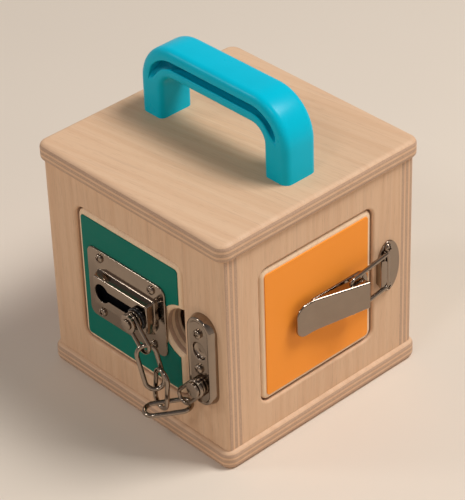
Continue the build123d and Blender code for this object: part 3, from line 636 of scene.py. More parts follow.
def lacquer(name, shade):
    """Coloured lacquer rolled on the door: even colour, a soft gloss and a faint orange-peel ripple."""
    material, tree, place = new_finish(name)
    clouds, tint = clouded(tree, place, lacquer_cloud, rough_detail, shade, lacquer_shade_share)
    rough = add_node(tree, "ShaderNodeMapRange", {
        "Value": clouds, "To Min": lacquer_roughness[0], "To Max": lacquer_roughness[1],
    })
    peel = add_node(tree, "ShaderNodeTexNoise", {
        "Vector": place, "Scale": 1 / peel_size, "Detail": soft_detail,
    })
    bump = add_node(tree, "ShaderNodeBump", {
        "Height": peel, "Strength": peel_bump_strength, "Distance": peel_bump,
    })
    shader = add_node(tree, "ShaderNodeBsdfPrincipled", {
        "Base Color": tint, "Roughness": rough, "Specular IOR Level": lacquer_specular, "Normal": bump,
    })
    add_node(tree, "ShaderNodeOutputMaterial", {"Surface": shader})
    return material


plastic_cloud = 16.667 * mm
plastic_shade_share = 0.9
grit_bump = 0.05 * mm
grit_bump_strength = 0.1
handle_roughness = (0.24, 0.34)
handle_specular = 0.12
handle_grit = 0.7 * mm
drum_roughness = (0.12, 0.22)
drum_specular = 0.5
drum_grit = 0.5 * mm


def moulded_plastic(name, shade, roughness, specular, grit):
    """Injection-moulded plastic: one colour through, a soft sheen and a fine even texture."""
    material, tree, place = new_finish(name)
    clouds, tint = clouded(tree, place, plastic_cloud, rough_detail, shade, plastic_shade_share)
    rough = add_node(tree, "ShaderNodeMapRange", {
        "Value": clouds, "To Min": roughness[0], "To Max": roughness[1],
    })
    grain = add_node(tree, "ShaderNodeTexNoise", {
        "Vector": place, "Scale": 1 / grit, "Detail": soft_detail,
    })
    bump = add_node(tree, "ShaderNodeBump", {
        "Height": grain, "Strength": grit_bump_strength, "Distance": grit_bump,
    })
    shader = add_node(tree, "ShaderNodeBsdfPrincipled", {
        "Base Color": tint, "Roughness": rough, "Specular IOR Level": specular, "Normal": bump,
    })
    add_node(tree, "ShaderNodeOutputMaterial", {"Surface": shader})
    return material


haze_size = 8.333 * mm
haze_span = (0.3, 0.75)
dull_share = 0.84
hair_along = 10 * mm
hair_across = 0.625 * mm
hair_bump = 0.03 * mm
hair_bump_strength = 0.06
full_metal = 1.0
nickel_roughness = (0.06, 0.17)
zinc_roughness = (0.26, 0.4)


def plated_steel(name, shade, roughness):
    """Plated steel pressings and wire: mirror-like with a slight haze, hair scratches and dull spots."""
    material, tree, place = new_finish(name)
    haze, tint = clouded(tree, place, haze_size, haze_detail, shade, dull_share)
    rough = add_node(tree, "ShaderNodeMapRange", {
        "Value": haze, "From Min": haze_span[0], "From Max": haze_span[1],
        "To Min": roughness[0], "To Max": roughness[1],
    })
    stretch = (1 / hair_along, 1 / hair_along, 1 / hair_across)
    scaled = add_node(tree, "ShaderNodeVectorMath", {0: place, 1: stretch}, operation="MULTIPLY")
    hair = add_node(tree, "ShaderNodeTexNoise", {
        "Vector": scaled, "Scale": own_scale, "Detail": plain_detail,
    })
    bump = add_node(tree, "ShaderNodeBump", {
        "Height": hair, "Strength": hair_bump_strength, "Distance": hair_bump,
    })
    shader = add_node(tree, "ShaderNodeBsdfPrincipled", {
        "Base Color": tint, "Metallic": full_metal, "Roughness": rough, "Normal": bump,
    })
    add_node(tree, "ShaderNodeOutputMaterial", {"Surface": shader})
    return material


mottle_size = 125 * mm
floor_shade_share = 0.97
floor_roughness = 0.7


def painted_floor(name, shade):
    """Matt pale floor: one even colour with the faintest mottling."""
    material, tree, place = new_finish(name)
    tint = clouded(tree, place, mottle_size, rough_detail, shade, floor_shade_share)[1]
    shader = add_node(tree, "ShaderNodeBsdfPrincipled", {"Base Color": tint, "Roughness": floor_roughness})
    add_node(tree, "ShaderNodeOutputMaterial", {"Surface": shader})
    return material


door_finish = {
    "front": "green_door_lacquer",
    "right": "orange_door_lacquer",
    "back": "yellow_door_lacquer",
    "left": "red_door_lacquer",
}


def finish_named(name):
    """The finish of that name, made the first time it is asked for."""
    known = bpy.data.materials.get(name)
    if known is not None:
        return known
    colours = bpy.context.scene.lock_box_colours
    birch = (colours.birch_pale, colours.birch_dark)
    border = (colours.door_pale, colours.door_dark)
    finishes = {
        "green_door_lacquer": (lacquer, colours.green),
        "orange_door_lacquer": (lacquer, colours.orange),
        "yellow_door_lacquer": (lacquer, colours.yellow),
        "red_door_lacquer": (lacquer, colours.red),
        "sanded_beech": (beech, colours),
        "turquoise_plastic": (
            moulded_plastic, colours.turquoise, handle_roughness, handle_specular, handle_grit,
        ),
        # Real black plastic on the drum, painted shade inside the chain track
        "black_plastic": (moulded_plastic, colours.black, drum_roughness, drum_specular, drum_grit),
        # Nickel's colour is darkened and browned as a painted reflection
        "nickel_plate": (plated_steel, colours.nickel, nickel_roughness),
        "zinc_plate": (plated_steel, colours.zinc, zinc_roughness),
        "pale_floor": (painted_floor, colours.floor),
    }
    for board, turn in (("top", top_grain_turn), ("bottom", 0.0)):
        start = np.array(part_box(f"{board}_board"))[0][z_axis]
        finishes[f"birch_{board}"] = (plywood, colours, birch, z_axis, start, x_axis, turn, wall_plies)
    for side, axes in wall_axes.items():
        outward = axes[2]
        axis = int(np.abs(outward).argmax())
        start = -half_box if outward[axis] < 0 else half_box - ply_thickness
        wall = (axis, start, z_axis, wall_grain_turn, wall_plies)
        door = (axis, start, z_axis, -wall_grain_turn, door_plies)
        finishes[f"birch_{side}"] = (plywood, colours, birch, *wall)
        finishes[f"birch_{side}_door"] = (plywood, colours, border, *door)
    maker, *values = finishes[name]
    return maker(name, *values)


# Carcass and doors
def board_surface(node, wood):
    """Board with rounded corners and edges: its outline drawn in along a quarter circle at both faces."""
    low, high = np.array(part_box(node))
    middle = (low + high) / 2
    width, depth = (high - low)[:2]

    def outline(inset):
        return rounded_rectangle(width - 2 * inset, depth - 2 * inset, wood.board_corner - inset, middle)

    steps = undercut(wood.board_round, low[2]) + rounding(wood.board_round, high[2])
    return moulded(outline, steps)


def rectangle(width, height, middle):
    """Four corners of a rectangle, anticlockwise from the lower right."""
    across = np.array([1, 1, -1, -1]) * width / 2
    up = np.array([-1, 1, 1, -1]) * height / 2
    return np.column_stack([middle[0] + across, middle[1] + up])


def wall_surfaces(side, wood):
    """Wall with a door opening: an outer rectangle whose ends are rounded outwards, an opening with an
    eased edge, and the two flat faces between them."""
    low, high = node_box(f"{side}_wall", side)
    middle = (low + high) / 2
    width, height = (high - low)[:2]
    end_round = wood.wall_round if side in ("front", "back") else flat_support
    opening_middle = (wood.opening_right - wood.opening_width / 2, middle[1])

    def outer(inset):
        return rectangle(width - 2 * inset, height, middle)

    def opening(inset):
        return rounded_rectangle(
            wood.opening_width - 2 * inset, wood.opening_height - 2 * inset, wood.opening_corner - inset,
            opening_middle,
        )

    ends = [(0, low[2]), *rounding(end_round, 0)]
    ease = [(-inset, level) for inset, level in rounding(wood.opening_ease, 0)]
    reveal = [(0, low[2]), *ease]
    shell = moulded(outer, ends, caps=(False, False))
    jamb = moulded(opening, reveal, caps=(False, False))
    front_face = holed(outer(ends[-1][0]), [opening(reveal[-1][0])], 0)
    back_face = holed(outer(0), [opening(0)], low[2])
    return [placed(surface, side) for surface in (shell, jamb, front_face, back_face)]


def door_outline(wood, notched, width, height, middle):
    """Door's outline as a function of inset: a rounded rectangle, with a round finger notch in its free
    edge whose two tips are small arcs that touch the edge and the notch."""

    def outline(inset):
        half_width = width / 2 - inset
        half_height = height / 2 - inset
        corner = max(wood.door_corner - inset, flat_support)
        right = half_width - corner
        up = half_height - corner
        runs = [arc((right, -up), corner, -quarter_turn, 0, corner_points)]
        if notched:
            tip = max(wood.notch_corner - inset, flat_support)
            radius = wood.notch_radius + inset
            rise = math.sqrt((radius + tip) ** 2 - (inset + tip) ** 2)
            turn = math.atan2(rise, inset + tip)
            runs.append(arc((half_width - tip, -rise), tip, 0, turn, edge_points))
            runs.append(arc((width / 2, 0), radius, math.pi + turn, math.pi - turn, turn_points)[1:-1])
            runs.append(arc((half_width - tip, rise), tip, -turn, 0, edge_points))
        runs.append(arc((right, up), corner, 0, quarter_turn, corner_points))
        runs.append(arc((-right, up), corner, quarter_turn, 2 * quarter_turn, corner_points))
        runs.append(arc((-right, -up), corner, 2 * quarter_turn, 3 * quarter_turn, corner_points))
        return np.concatenate(runs) + middle

    return outline


def panel_surfaces(outline, steps, side):
    """A panel whose two flat faces follow its outline, notch and all."""
    body = moulded(outline, steps, caps=(False, False))
    faces = [holed(outline(inset), [], height) for inset, height in (steps[0], steps[-1])]
    return [placed(surface, side) for surface in (body, *faces)]


def door_surfaces(side, wood):
    """Door board, rounded over outside, and the coloured face that lies on it."""
    low, high = node_box(f"{side}_door_board", side)
    face_low, face_high = node_box(f"{side}_door_face", side)
    middle = ((low + high) / 2)[:2]
    width, height = (high - low)[:2]
    outline = door_outline(wood, side != "right", width, height, middle)
    board_steps = undercut(wood.door_ease, low[2]) + rounding(wood.door_round, high[2])
    face_steps = [(wood.face_inset, face_low[2]), *rounding(wood.face_ease, face_high[2], wood.face_inset)]
    return panel_surfaces(outline, board_steps, side), panel_surfaces(outline, face_steps, side)


# Carry handle
leg_points = 14
bar_points = 30
groove_start_angle = math.radians(6)
groove_full_angle = math.radians(42)


def arch_line(half_length, height, bend):
    """Line up a leg, round a bend, along the bar, round the other bend and down, with fixed counts."""
    straight = np.linspace(0, height - bend, leg_points)
    leg = np.column_stack([np.full(leg_points, -half_length), straight])
    turn = arc((bend - half_length, height - bend), bend, math.pi, quarter_turn, bend_points)
    run = np.linspace(bend - half_length, half_length - bend, bar_points)
    bar = np.column_stack([run, np.full(bar_points, height)])
    half = np.concatenate([leg[:-1], turn[:-1], bar[:bar_points // 2]])
    return np.concatenate([half, half[::-1] * (-1, 1)])


def groove_fade():
    """How full the groove is at each station of the arch: nothing on the legs, all of it on the bar, and
    a smooth step over part of each bend."""
    angle = np.linspace(0, quarter_turn, bend_points)
    bend = smooth_step(angle, groove_start_angle, groove_full_angle)
    half = np.concatenate([np.zeros(leg_points - 1), bend[:-1], np.ones(bar_points // 2)])
    return np.concatenate([half, half[::-1]])


def groove_section(wood):
    """Section of the groove from its lip to its far edge: where each point lies on a flat side, where it
    lies in the full groove, and how deep. The lip's edge is a half circle, the hollow behind it falls away
    along a quarter ellipse to a flat floor, and the far edge is a quarter circle."""
    edge = wood.groove_edge
    lip = wood.groove_lip - edge
    far = wood.groove_lip + wood.groove_width
    fall = wood.groove_undercut - edge
    tip = np.linspace(-quarter_turn, quarter_turn, corner_points)
    turn = np.linspace(0, quarter_turn, edge_points)
    full = np.concatenate([
        lip + edge * np.cos(tip),
        lip - fall * np.sin(turn[1:]),
        [far],
        far + edge * (1 - np.cos(turn)),
    ])
    dip = np.concatenate([
        edge * (1 + np.sin(tip)),
        2 * edge + (wood.groove_depth - 2 * edge) * (1 - np.cos(turn[1:])),
        [wood.groove_depth],
        edge * (1 - np.sin(turn)),
    ])
    return np.linspace(full[0], full[-1], len(full)), full, dip


def handle_surface(wood):
    """Arched handle: a rounded section carried between an inner and an outer arch. Each broad side runs
    from a quarter circle at the hand hole, through the groove as far as it is full there, to a quarter
    ellipse at the outer edge."""
    low, high = np.array(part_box("handle"))
    half_length = (high - low)[0] / 2
    half_width = (high - low)[1] / 2
    height = (high - low)[2]
    outer = arch_line(half_length, height, wood.handle_outer_bend)
    inner = arch_line(half_length - wood.handle_leg, height - wood.handle_grip, wood.handle_inner_bend)
    across = outer - inner
    thickness = np.linalg.norm(across, axis=1)[:, None]
    across = across / thickness
    fade = groove_fade()[:, None]
    turn = np.linspace(0, quarter_turn, edge_points)
    flat, full, dip = groove_section(wood)
    inner_edge = wood.handle_inner_edge
    outer_edge = wood.handle_outer_edge
    whole = np.ones((len(outer), 1))
    reach = np.concatenate([
        whole * (inner_edge * (1 - np.cos(turn))),
        flat + (full - flat) * fade,
        thickness - outer_edge + whole * (outer_edge * np.sin(turn)),
    ], axis=1)
    side = np.concatenate([
        whole * (half_width - inner_edge + inner_edge * np.sin(turn)),
        half_width - dip * fade,
        whole * (half_width - wood.handle_shoulder + wood.handle_shoulder * np.cos(turn)),
    ], axis=1)
    reach = np.concatenate([reach, reach[:, ::-1]], axis=1)
    side = np.concatenate([side, -side[:, ::-1]], axis=1)
    x = inner[:, :1] + across[:, :1] * reach
    z = low[2] + inner[:, 1:] + across[:, 1:] * reach
    return grid(np.stack([x, side, z], axis=-1), caps=(True, True))


# Screws: the turns of their crosses in degrees, how finely a head is drawn, and its foot in the plate
screw_turns = (20, 65, 110, 40, 80)
screw_rings = 26
screw_round_points = 112
cross_blur = 0.09 * mm
screw_foot = 0.7 * mm


def screw_surface(metal, turn):
    """Domed screw head: an upright rim and a full dome, cut by a cross. The dome's height is the root of
    one less the squared share of the radius, less the cross's depth where either arm covers the point."""
    radius = metal.screw_head / 2
    rise = metal.screw_rise - metal.screw_rim
    rings = radius * np.sin(np.linspace(quarter_turn, 0, screw_rings))
    angle = np.linspace(0, full_turn, screw_round_points, endpoint=False)
    x = rings[:, None] * np.cos(angle)
    y = rings[:, None] * np.sin(angle)
    dome = metal.screw_rim + rise * np.sqrt(1 - (rings / radius) ** 2)[:, None]
    along = x * math.cos(turn) + y * math.sin(turn)
    over = y * math.cos(turn) - x * math.sin(turn)

    half_length = metal.cross_length / 2
    half_width = metal.cross_width / 2

    def arm(first, second):
        long_side = smooth_step(np.abs(first), half_length - cross_blur, half_length)
        short_side = smooth_step(np.abs(second), half_width - cross_blur, half_width + cross_blur)
        return (1 - long_side) * (1 - short_side)

    cut = np.maximum(arm(along, over), arm(over, along))
    head = np.stack([x, y, dome - metal.cross_depth * cut], axis=-1)
    foot = np.stack([x[0], y[0], np.full(screw_round_points, -screw_foot)], axis=-1)[None]
    return grid(np.concatenate([foot, head]), caps=(True, False))


def add_screws(node, side, places, level, finish):
    """Screw heads of one node, each with its cross turned differently."""
    metal = bpy.context.scene.lock_box_metal
    surfaces = []
    for at, place in enumerate(places):
        head = screw_surface(metal, math.radians(screw_turns[at % len(screw_turns)]))
        surfaces.append(placed(moved(head, (*place, level)), side))
    add_piece(node, surfaces, [finish])


# Chain track and chain
keyhole_rim = 0.3 * mm
entry_inset = 8.5 * mm
slot_inset = 7.2 * mm
track_screw_inset = 11.0 * mm
track_screw_margin = 5.0 * mm
foot_fillet = 0.9 * mm
# Thin black sheet on the door inside the track's hollow, painted shade behind the keyhole: its gap and rise
shade_sheet_gap = 0.2 * mm
shade_sheet_rise = 0.5 * mm


def keyhole(metal, start, end, level, grow):
    """Keyhole outline: a round entry and a narrower slot with a round end, grown outwards all round."""
    half_slot = metal.slot_width / 2 + grow
    entry = metal.entry_diameter / 2 + grow
    shoulder = math.asin(half_slot / entry)
    slot_end = arc((end, level), half_slot, -quarter_turn, quarter_turn, turn_points // 2)
    wide_end = arc((start, level), entry, shoulder, full_turn - shoulder, turn_points)
    return np.concatenate([slot_end, wide_end])


def track_surfaces(metal):
    """Chain track: one sheet that runs from the hollow behind the band out to the plate's edge, back over
    the plate, up the leaning band and over to the keyhole, whose rim is eased. The hollow's inside is
    painted black as painted shade, and a thin black sheet on the door behind the keyhole is painted shade
    too."""
    low, high = node_box("chain_track", "front")
    middle = ((low + high) / 2)[:2]
    length, height = (high - low)[:2]
    rise = high[2]
    sheet = metal.sheet
    band_length = length - 2 * metal.band_inset

    def plate_ring(inset, level):
        ring = rounded_rectangle(length - 2 * inset, height - 2 * inset, metal.track_corner - inset, middle)
        return np.column_stack([ring, np.full(len(ring), level)])

    def band_ring(inset, level, corner):
        ring = rounded_rectangle(band_length - 2 * inset, metal.band_height - 2 * inset, corner, middle)
        return np.column_stack([ring, np.full(len(ring), level)])

    crown_corner = metal.band_round + flat_support
    lean = metal.band_draft / rise
    turn = np.linspace(0, quarter_turn, edge_points)
    foot = [
        band_ring(-foot_fillet * (1 - math.sin(at)), sheet + foot_fillet * (1 - math.cos(at)),
                  crown_corner + foot_fillet * (1 - math.sin(at)))
        for at in turn
    ]
    crown_start = rise - metal.band_round
    crown = [
        band_ring(lean * crown_start + metal.band_round * (1 - math.cos(at)),
                  crown_start + metal.band_round * math.sin(at), crown_corner)
        for at in turn
    ]
    crown_inset = lean * crown_start + metal.band_round + flat_support
    plate_edge = [plate_ring(inset, level) for inset, level in rounding(metal.sheet_ease, sheet)]
    hollow_top = rise - sheet
    hollow_inset = sheet + metal.band_draft
    hollow = [band_ring(hollow_inset, hollow_top, flat_support), band_ring(sheet, 0, flat_support)]
    rows = [
        hollow[-1],
        plate_ring(0, 0),
        *plate_edge,
        *foot,
        *crown,
        band_ring(crown_inset, rise, crown_corner),
    ]
    start = middle[0] - band_length / 2 + entry_inset
    end = middle[0] + band_length / 2 - slot_inset
    key_steps = [(0, hollow_top), *rounding(keyhole_rim, rise)]

    def key_outline(grow):
        return keyhole(metal, start, end, middle[1], grow)

    # Outline of the black sheet of painted shade on the door
    def shade_sheet_outline(inset):
        return band_ring(sheet + shade_sheet_gap + inset, 0, shade_sheet_gap)[:, :2]

    shade_sheet_steps = [(0, shade_sheet_gap / 2), *rounding(shade_sheet_gap / 2, shade_sheet_rise)]
    # Finish 1 is black: on the hollow's inside and on the sheet on the door it is painted shade
    surfaces = (
        grid(np.stack(rows)),
        grid(np.stack(hollow), finish=1),
        moulded(key_outline, key_steps, caps=(False, False)),
        holed(rows[-1][:, :2], [key_outline(key_steps[-1][0])], rise),
        holed(hollow[0][:, :2], [key_outline(key_steps[0][0])], hollow_top, finish=1),
        moulded(shade_sheet_outline, shade_sheet_steps, finish=1),
    )
    return [placed(surface, "front") for surface in surfaces]


def track_screw_places():
    """Places of the four screws along and up the track's plate."""
    low, high = node_box("chain_track", "front")
    sides = (low[0] + track_screw_inset, high[0] - track_screw_inset)
    levels = (low[1] + track_screw_margin, high[1] - track_screw_margin)
    return [(along, up) for along in sides for up in levels]


# Discs of the button and of the stud, from the wall outwards: a radius and a thickness each
button_ease = 0.45 * mm
drum_ease = 0.7 * mm
flange_radius = 4.5 * mm
flange_sheet = 2.0 * mm
neck_radius = 2.9 * mm
neck_length = 2.2 * mm
drum_radius = 7.0 * mm
drum_sheet = 2.6 * mm
ring_radius = 6.0 * mm
ring_sheet = 1.4 * mm
stud_radius = 3.1 * mm
strap_room = 3.2 * mm
cap_radius = 5.8 * mm
anchor_cap_radius = 4.8 * mm
cap_sheet = 1.6 * mm
tip_radius = 3.3 * mm
tip_sheet = 1.2 * mm
collar_radius = 5.0 * mm
collar_sheet = 1.4 * mm

# How the straps and the links hang, in degrees
button_strap_swing = 41.5
anchor_strap_swing = -42.0
link_turn = 48.7
first_link_tilt = 20.0
second_link_turn = 124.5
second_link_lean = 6.5
third_link_rise = 7.0


def stacked_discs(steps, start):
    """Radius, low and high of discs laid on one another."""
    radii, sheets = zip(*steps)
    heights = start + np.cumsum([0, *sheets])
    return list(zip(radii, heights[:-1], heights[1:]))


def button_surfaces():
    """Sliding button: a flange and a neck in the track, a black drum, then a ring, a stud and a cap."""
    low, high = node_box("chain_button", "front")
    middle = (low + high) / 2
    lower = stacked_discs([(flange_radius, flange_sheet), (neck_radius, neck_length)], low[2])
    drum = stacked_discs([(drum_radius, drum_sheet)], lower[-1][2])
    upper = stacked_discs([(ring_radius, ring_sheet), (stud_radius, strap_room), (cap_radius, cap_sheet),
                           (tip_radius, tip_sheet)], drum[-1][2])
    shapes = [
        turned(disc_profile(lower, button_ease)),
        turned(disc_profile(drum, drum_ease), finish=1),
        turned(disc_profile(upper, button_ease)),
    ]
    return [placed(moved(shape, (middle[0], middle[1], 0)), "front") for shape in shapes]


def stud_surfaces(metal):
    """Stud on the anchor: a foot in the plate, a collar, the neck that carries the strap, and a cap."""
    low, high = node_box("chain_anchor_stud", "front")
    middle = (low + high) / 2
    steps = [(stud_radius, metal.park_depth), (collar_radius, collar_sheet), (stud_radius, strap_room),
             (anchor_cap_radius, cap_sheet)]
    shape = turned(disc_profile(stacked_discs(steps, low[2]), button_ease))
    return [placed(moved(shape, (middle[0], middle[1], 0)), "front")]


def strap_surface(metal, stud, swing):
    """Oblong wire strap that hangs on a stud, swung from straight down towards the right."""
    width = metal.strap_opening + metal.strap_wire
    span = metal.strap_reach - (metal.strap_opening + 2 * metal.strap_wire) / 2
    path = oblong_path(span + width, width) + np.array((span / 2, 0, 0))
    loop = wire(path, (0, 0, 1), metal.strap_wire / 2, closed=True)
    return placed(moved(loop, stud, spin("Z", swing - right_angle)), "front")


def link_surface(metal, middle, *spins):
    """Chain link turned in its own frame by each rotation in order and carried to its middle."""
    path = oblong_path(metal.link_length - metal.link_wire, metal.link_width - metal.link_wire)
    loop = wire(path, (0, 0, 1), metal.link_wire / 2, closed=True)
    axes = np.eye(3)
    for axis, degrees in spins:
        axes = axes @ spin(axis, degrees)
    return placed(moved(loop, middle, axes), "front")


def node_middle(node, side):
    """Middle of a CAD node along a wall, up it and out of it."""
    low, high = node_box(node, side)
    return (low + high) / 2


# Chain anchor
anchor_rows = 4
anchor_pitch = 12.0 * mm
anchor_top_margin = 11.0 * mm
dish_rim = 0.7 * mm
rim_flat = 0.3 * mm
bowl_share = 0.98


def anchor_levels():
    """Levels of the upper screw, the dished hole, the lower screw and the stud."""
    top = node_box("chain_anchor", "front")[1][1]
    return [top - anchor_top_margin - row * anchor_pitch for row in range(anchor_rows)]


def anchor_surfaces(metal):
    """Anchor plate: a long round-ended outline that leans in, rounds over a raised rim, eases down half a
    cosine to its face and sinks into a dished hole whose floor is a shallow bowl."""
    low, high = node_box("chain_anchor", "front")
    middle = ((low + high) / 2)[:2]
    width, length = (high - low)[:2]
    rise = high[2]

    def outline(inset):
        return rounded_rectangle(width - 2 * inset, length - 2 * inset, width / 2 - inset, middle)

    lean = metal.anchor_draft * (rise - metal.anchor_round) / rise
    sink = metal.anchor_sink
    crown = rise - sink
    slope_start = lean + metal.anchor_round + rim_flat
    slope = [
        (slope_start + sink * (1 - math.cos(at)), crown + sink * (1 + math.cos(at)) / 2)
        for at in np.linspace(0, math.pi, corner_points)
    ]
    crown_inset = slope[-1][0] + flat_support
    rim = rounding(metal.anchor_round, rise, lean)
    steps = [(0, 0), (0, metal.sheet_ease), *rim, *slope, (crown_inset, crown)]
    hole_middle = (middle[0], anchor_levels()[1])
    radius = metal.park_diameter / 2

    def hole(inset):
        return ellipse(radius - inset, radius - inset, hole_middle)

    lip = [(-inset, level) for inset, level in rounding(dish_rim, crown)[::-1]]
    floor = rise - metal.park_depth
    fall = crown - dish_rim - floor
    bowl = [
        (radius * bowl_share * (1 - math.cos(at)), floor + fall * (1 - math.sin(at)) ** 2)
        for at in np.linspace(0, quarter_turn, corner_points)
    ]
    shell = moulded(outline, steps, caps=(True, False))
    dish = moulded(hole, lip + bowl[1:], caps=(False, True))
    crown_face = holed(outline(crown_inset), [hole(lip[0][0])], crown)
    return [placed(surface, "front") for surface in (shell, dish, crown_face)]


# Draw latch: places and sizes that the solids' boxes don't give
latch_screw_reach = 6.9 * mm
latch_screw_rise = 8.2 * mm
latch_back_screw_reach = 26.5 * mm
ear_outer = 7.5 * mm
fulcrum_height = 8.5 * mm
fulcrum_pin = 3.0 * mm
fulcrum_eye = 2.9 * mm
fulcrum_back_reach = 32.5 * mm
lever_crease_reach = 33.1 * mm
lever_crease_rise = 4.9 * mm
lever_root_width = 18.2 * mm
crease_blend = 2.2 * mm
bail_reach = 6.5 * mm
bail_height = 7.5 * mm
bail_bar_height = 3.3 * mm
bail_inner = 7.7 * mm
hook_height = 18.0 * mm
hook_lip = 4.6 * mm
keeper_screw_margin = 4.0 * mm
keeper_screw_shift = 1.0 * mm
ear_ease = 0.3 * mm
lever_stations = 60
tip_stations = 24
lip_stations = 33


def fulcrum():
    """Place along the wall and level of the latch's pin."""
    low, high = node_box("latch_base", "right")
    return low[0] + fulcrum_back_reach, (low[1] + high[1]) / 2


def latch_base_surfaces(metal):
    """Base plate with one round end, and two upright ears with round tops."""
    low, high = node_box("latch_base", "right")
    place, level = fulcrum()
    width = high[1] - low[1]
    round_middle = high[0] - width / 2
    tail_corner = 2 * metal.sheet

    def outline(inset):
        reach = width / 2 - inset
        nose = arc((round_middle, level), reach, -quarter_turn, quarter_turn, turn_points // 2)
        tail_middle = (low[0] + tail_corner, level + width / 2 - tail_corner)
        tail = arc(tail_middle, tail_corner - inset, quarter_turn, math.pi, corner_points)
        mirrored = (tail[::-1] - (0, level)) * (1, -1) + (0, level)
        return np.concatenate([nose, tail, mirrored])

    def ear(inset):
        reach = fulcrum_eye - inset
        top = arc((0, fulcrum_height), reach, 0, math.pi, turn_points // 2)
        feet = np.array([(-reach, 0), (reach, 0)])
        return np.concatenate([top, feet])

    plate = moulded(outline, [(0, 0), *rounding(metal.sheet_ease, metal.sheet)])
    upright = moulded(ear, undercut(ear_ease, 0) + rounding(ear_ease, metal.sheet))
    starts = (level - ear_outer, level + ear_outer - metal.sheet)
    ears = [moved(upright, (place, start, 0), standing_axes) for start in starts]
    return [placed(surface, "right") for surface in (plate, *ears)]


def pin_surfaces():
    """Latch pin across the ears, with eased ends."""
    low, high = node_box("latch_pin", "right")
    place, level = fulcrum()
    rod = turned(disc_profile([(fulcrum_pin / 2, low[1] - level, high[1] - level)], ear_ease))
    return [placed(moved(rod, (place, level, fulcrum_height), standing_axes), "right")]


def lever_surfaces(metal):
    """Latch lever: a channel section carried along the lever. Its top is level at the finger tip and
    slopes up from a soft crease to the pivot; its sides hang down as far as the eyes need."""
    low, high = node_box("latch_lever", "right")
    place, level = fulcrum()
    tip, end = low[0], high[0]
    crease = place - lever_crease_reach
    sheet = metal.sheet
    turn = np.linspace(0, quarter_turn, tip_stations)
    tip_run = tip + metal.lever_tip_corner * (1 - np.cos(turn))
    run = np.linspace(tip + metal.lever_tip_corner, end, lever_stations)[1:]
    along = np.concatenate([tip_run, run])
    slope = (high[2] - lever_crease_rise) / (end - crease)
    past = along - crease
    rise = lever_crease_rise + slope * (past + np.sqrt(past ** 2 + crease_blend ** 2)) / 2
    rise = np.minimum(rise, high[2])
    half_width = np.interp(along, (crease, end), ((high[1] - low[1]) / 2, lever_root_width / 2))
    nibble = metal.lever_tip_corner * (1 - np.sin(turn))
    half_width[:tip_stations] -= nibble
    hang = np.interp(
        along,
        (crease, place - bail_reach, place, end),
        (lever_crease_rise - sheet, bail_height - fulcrum_eye, fulcrum_height - fulcrum_eye,
         fulcrum_height - fulcrum_eye / 2),
    )
    hang = np.minimum(hang, rise - sheet)
    bend = np.linspace(0, quarter_turn, edge_points)
    fold = metal.lever_round
    depth = (rise - hang)[:, None]
    whole = np.ones((len(along), 1))
    half = half_width[:, None]
    outer_fold = np.minimum(fold, depth - flat_support)
    inner_fold = np.maximum(outer_fold - sheet, 0)
    across = np.concatenate([
        half * 0,
        half - outer_fold + outer_fold * np.sin(bend),
        half,
        half - sheet,
        half - sheet - inner_fold + inner_fold * np.sin(bend)[::-1],
        half * 0,
    ], axis=1)
    down = np.concatenate([
        depth * 0,
        outer_fold * (1 - np.cos(bend)),
        depth,
        depth,
        sheet * whole + inner_fold * (1 - np.cos(bend)[::-1]),
        sheet * whole,
    ], axis=1)
    across = np.concatenate([across, -across[:, ::-1]], axis=1)
    down = np.concatenate([down, down[:, ::-1]], axis=1)
    x = np.repeat(along[:, None], across.shape[1], axis=1)
    points = np.stack([x, level + across, rise[:, None] - down], axis=-1)
    return [placed(grid(points, caps=(True, True)), "right")]


def bail_surfaces(metal):
    """Wire bail: two turned-in ends, two legs and a bar, in one leaning plane through the pivot."""
    low, high = node_box("latch_bail", "right")
    place, level = fulcrum()
    start = np.array((place - bail_reach, level, bail_height))
    bar = np.array((high[0] - metal.bail_wire / 2, level, bail_bar_height))
    half = (high[1] - low[1] - metal.bail_wire) / 2
    reach = np.linalg.norm(bar - start)
    flat = bent_path(
        [(0, bail_inner), (0, half), (reach, half), (reach, -half), (0, -half), (0, -bail_inner)],
        metal.bail_corner,
    )
    along = (bar - start) / reach
    up = np.array((0, 1, 0), float)
    path = start + flat[:, :1] * along + flat[:, 1:] * up
    return [placed(wire(path, np.cross(along, up), metal.bail_wire / 2), "right")]


def keeper_surfaces(metal):
    """Oval keeper plate, and a hook: an upright web that bends over into a lip with round corners."""
    low, high = node_box("latch_keeper", "right")
    middle = ((low + high) / 2)[:2]
    half_width, half_height = (high - low)[:2] / 2
    sheet = metal.sheet
    rise = high[2]

    def outline(inset):
        return ellipse(half_width - inset, half_height - inset, middle)

    def root(inset):
        return rounded_rectangle(half_width - 2 * inset, hook_height - 2 * inset, sheet,
                                 (low[0] + half_width / 2, middle[1]))

    plate = moulded(outline, [(0, 0), *rounding(metal.sheet_ease, sheet)])
    root_plate = moulded(root, [(0, 0), *rounding(metal.sheet_ease, sheet - flat_support)])
    turn = np.linspace(-quarter_turn, quarter_turn, lip_stations)
    corner = metal.hook_corner
    up = np.sign(turn) * (hook_height / 2 - corner) + corner * np.sin(turn)
    short = corner * (1 - np.cos(turn))
    lip = (hook_lip - short)[:, None]
    bend = np.linspace(0, quarter_turn, edge_points)
    end_turn = np.linspace(quarter_turn, -quarter_turn, edge_points)
    whole = np.ones((lip_stations, 1))
    along = np.concatenate([
        whole * 0,
        whole * (sheet * (1 - np.cos(bend))),
        lip - sheet / 2 + sheet / 2 * np.cos(end_turn),
        whole * sheet,
        whole * sheet,
    ], axis=1)
    out = np.concatenate([
        whole * sheet / 2,
        whole * (rise - sheet + sheet * np.sin(bend)),
        whole * (rise - sheet / 2 + sheet / 2 * np.sin(end_turn)),
        whole * (rise - sheet),
        whole * sheet / 2,
    ], axis=1)
    levels = np.repeat(middle[1] + up[:, None], along.shape[1], axis=1)
    hook = grid(np.stack([low[0] + along, levels, out], axis=-1), caps=(True, True))
    return [placed(surface, "right") for surface in (plate, root_plate, hook)]


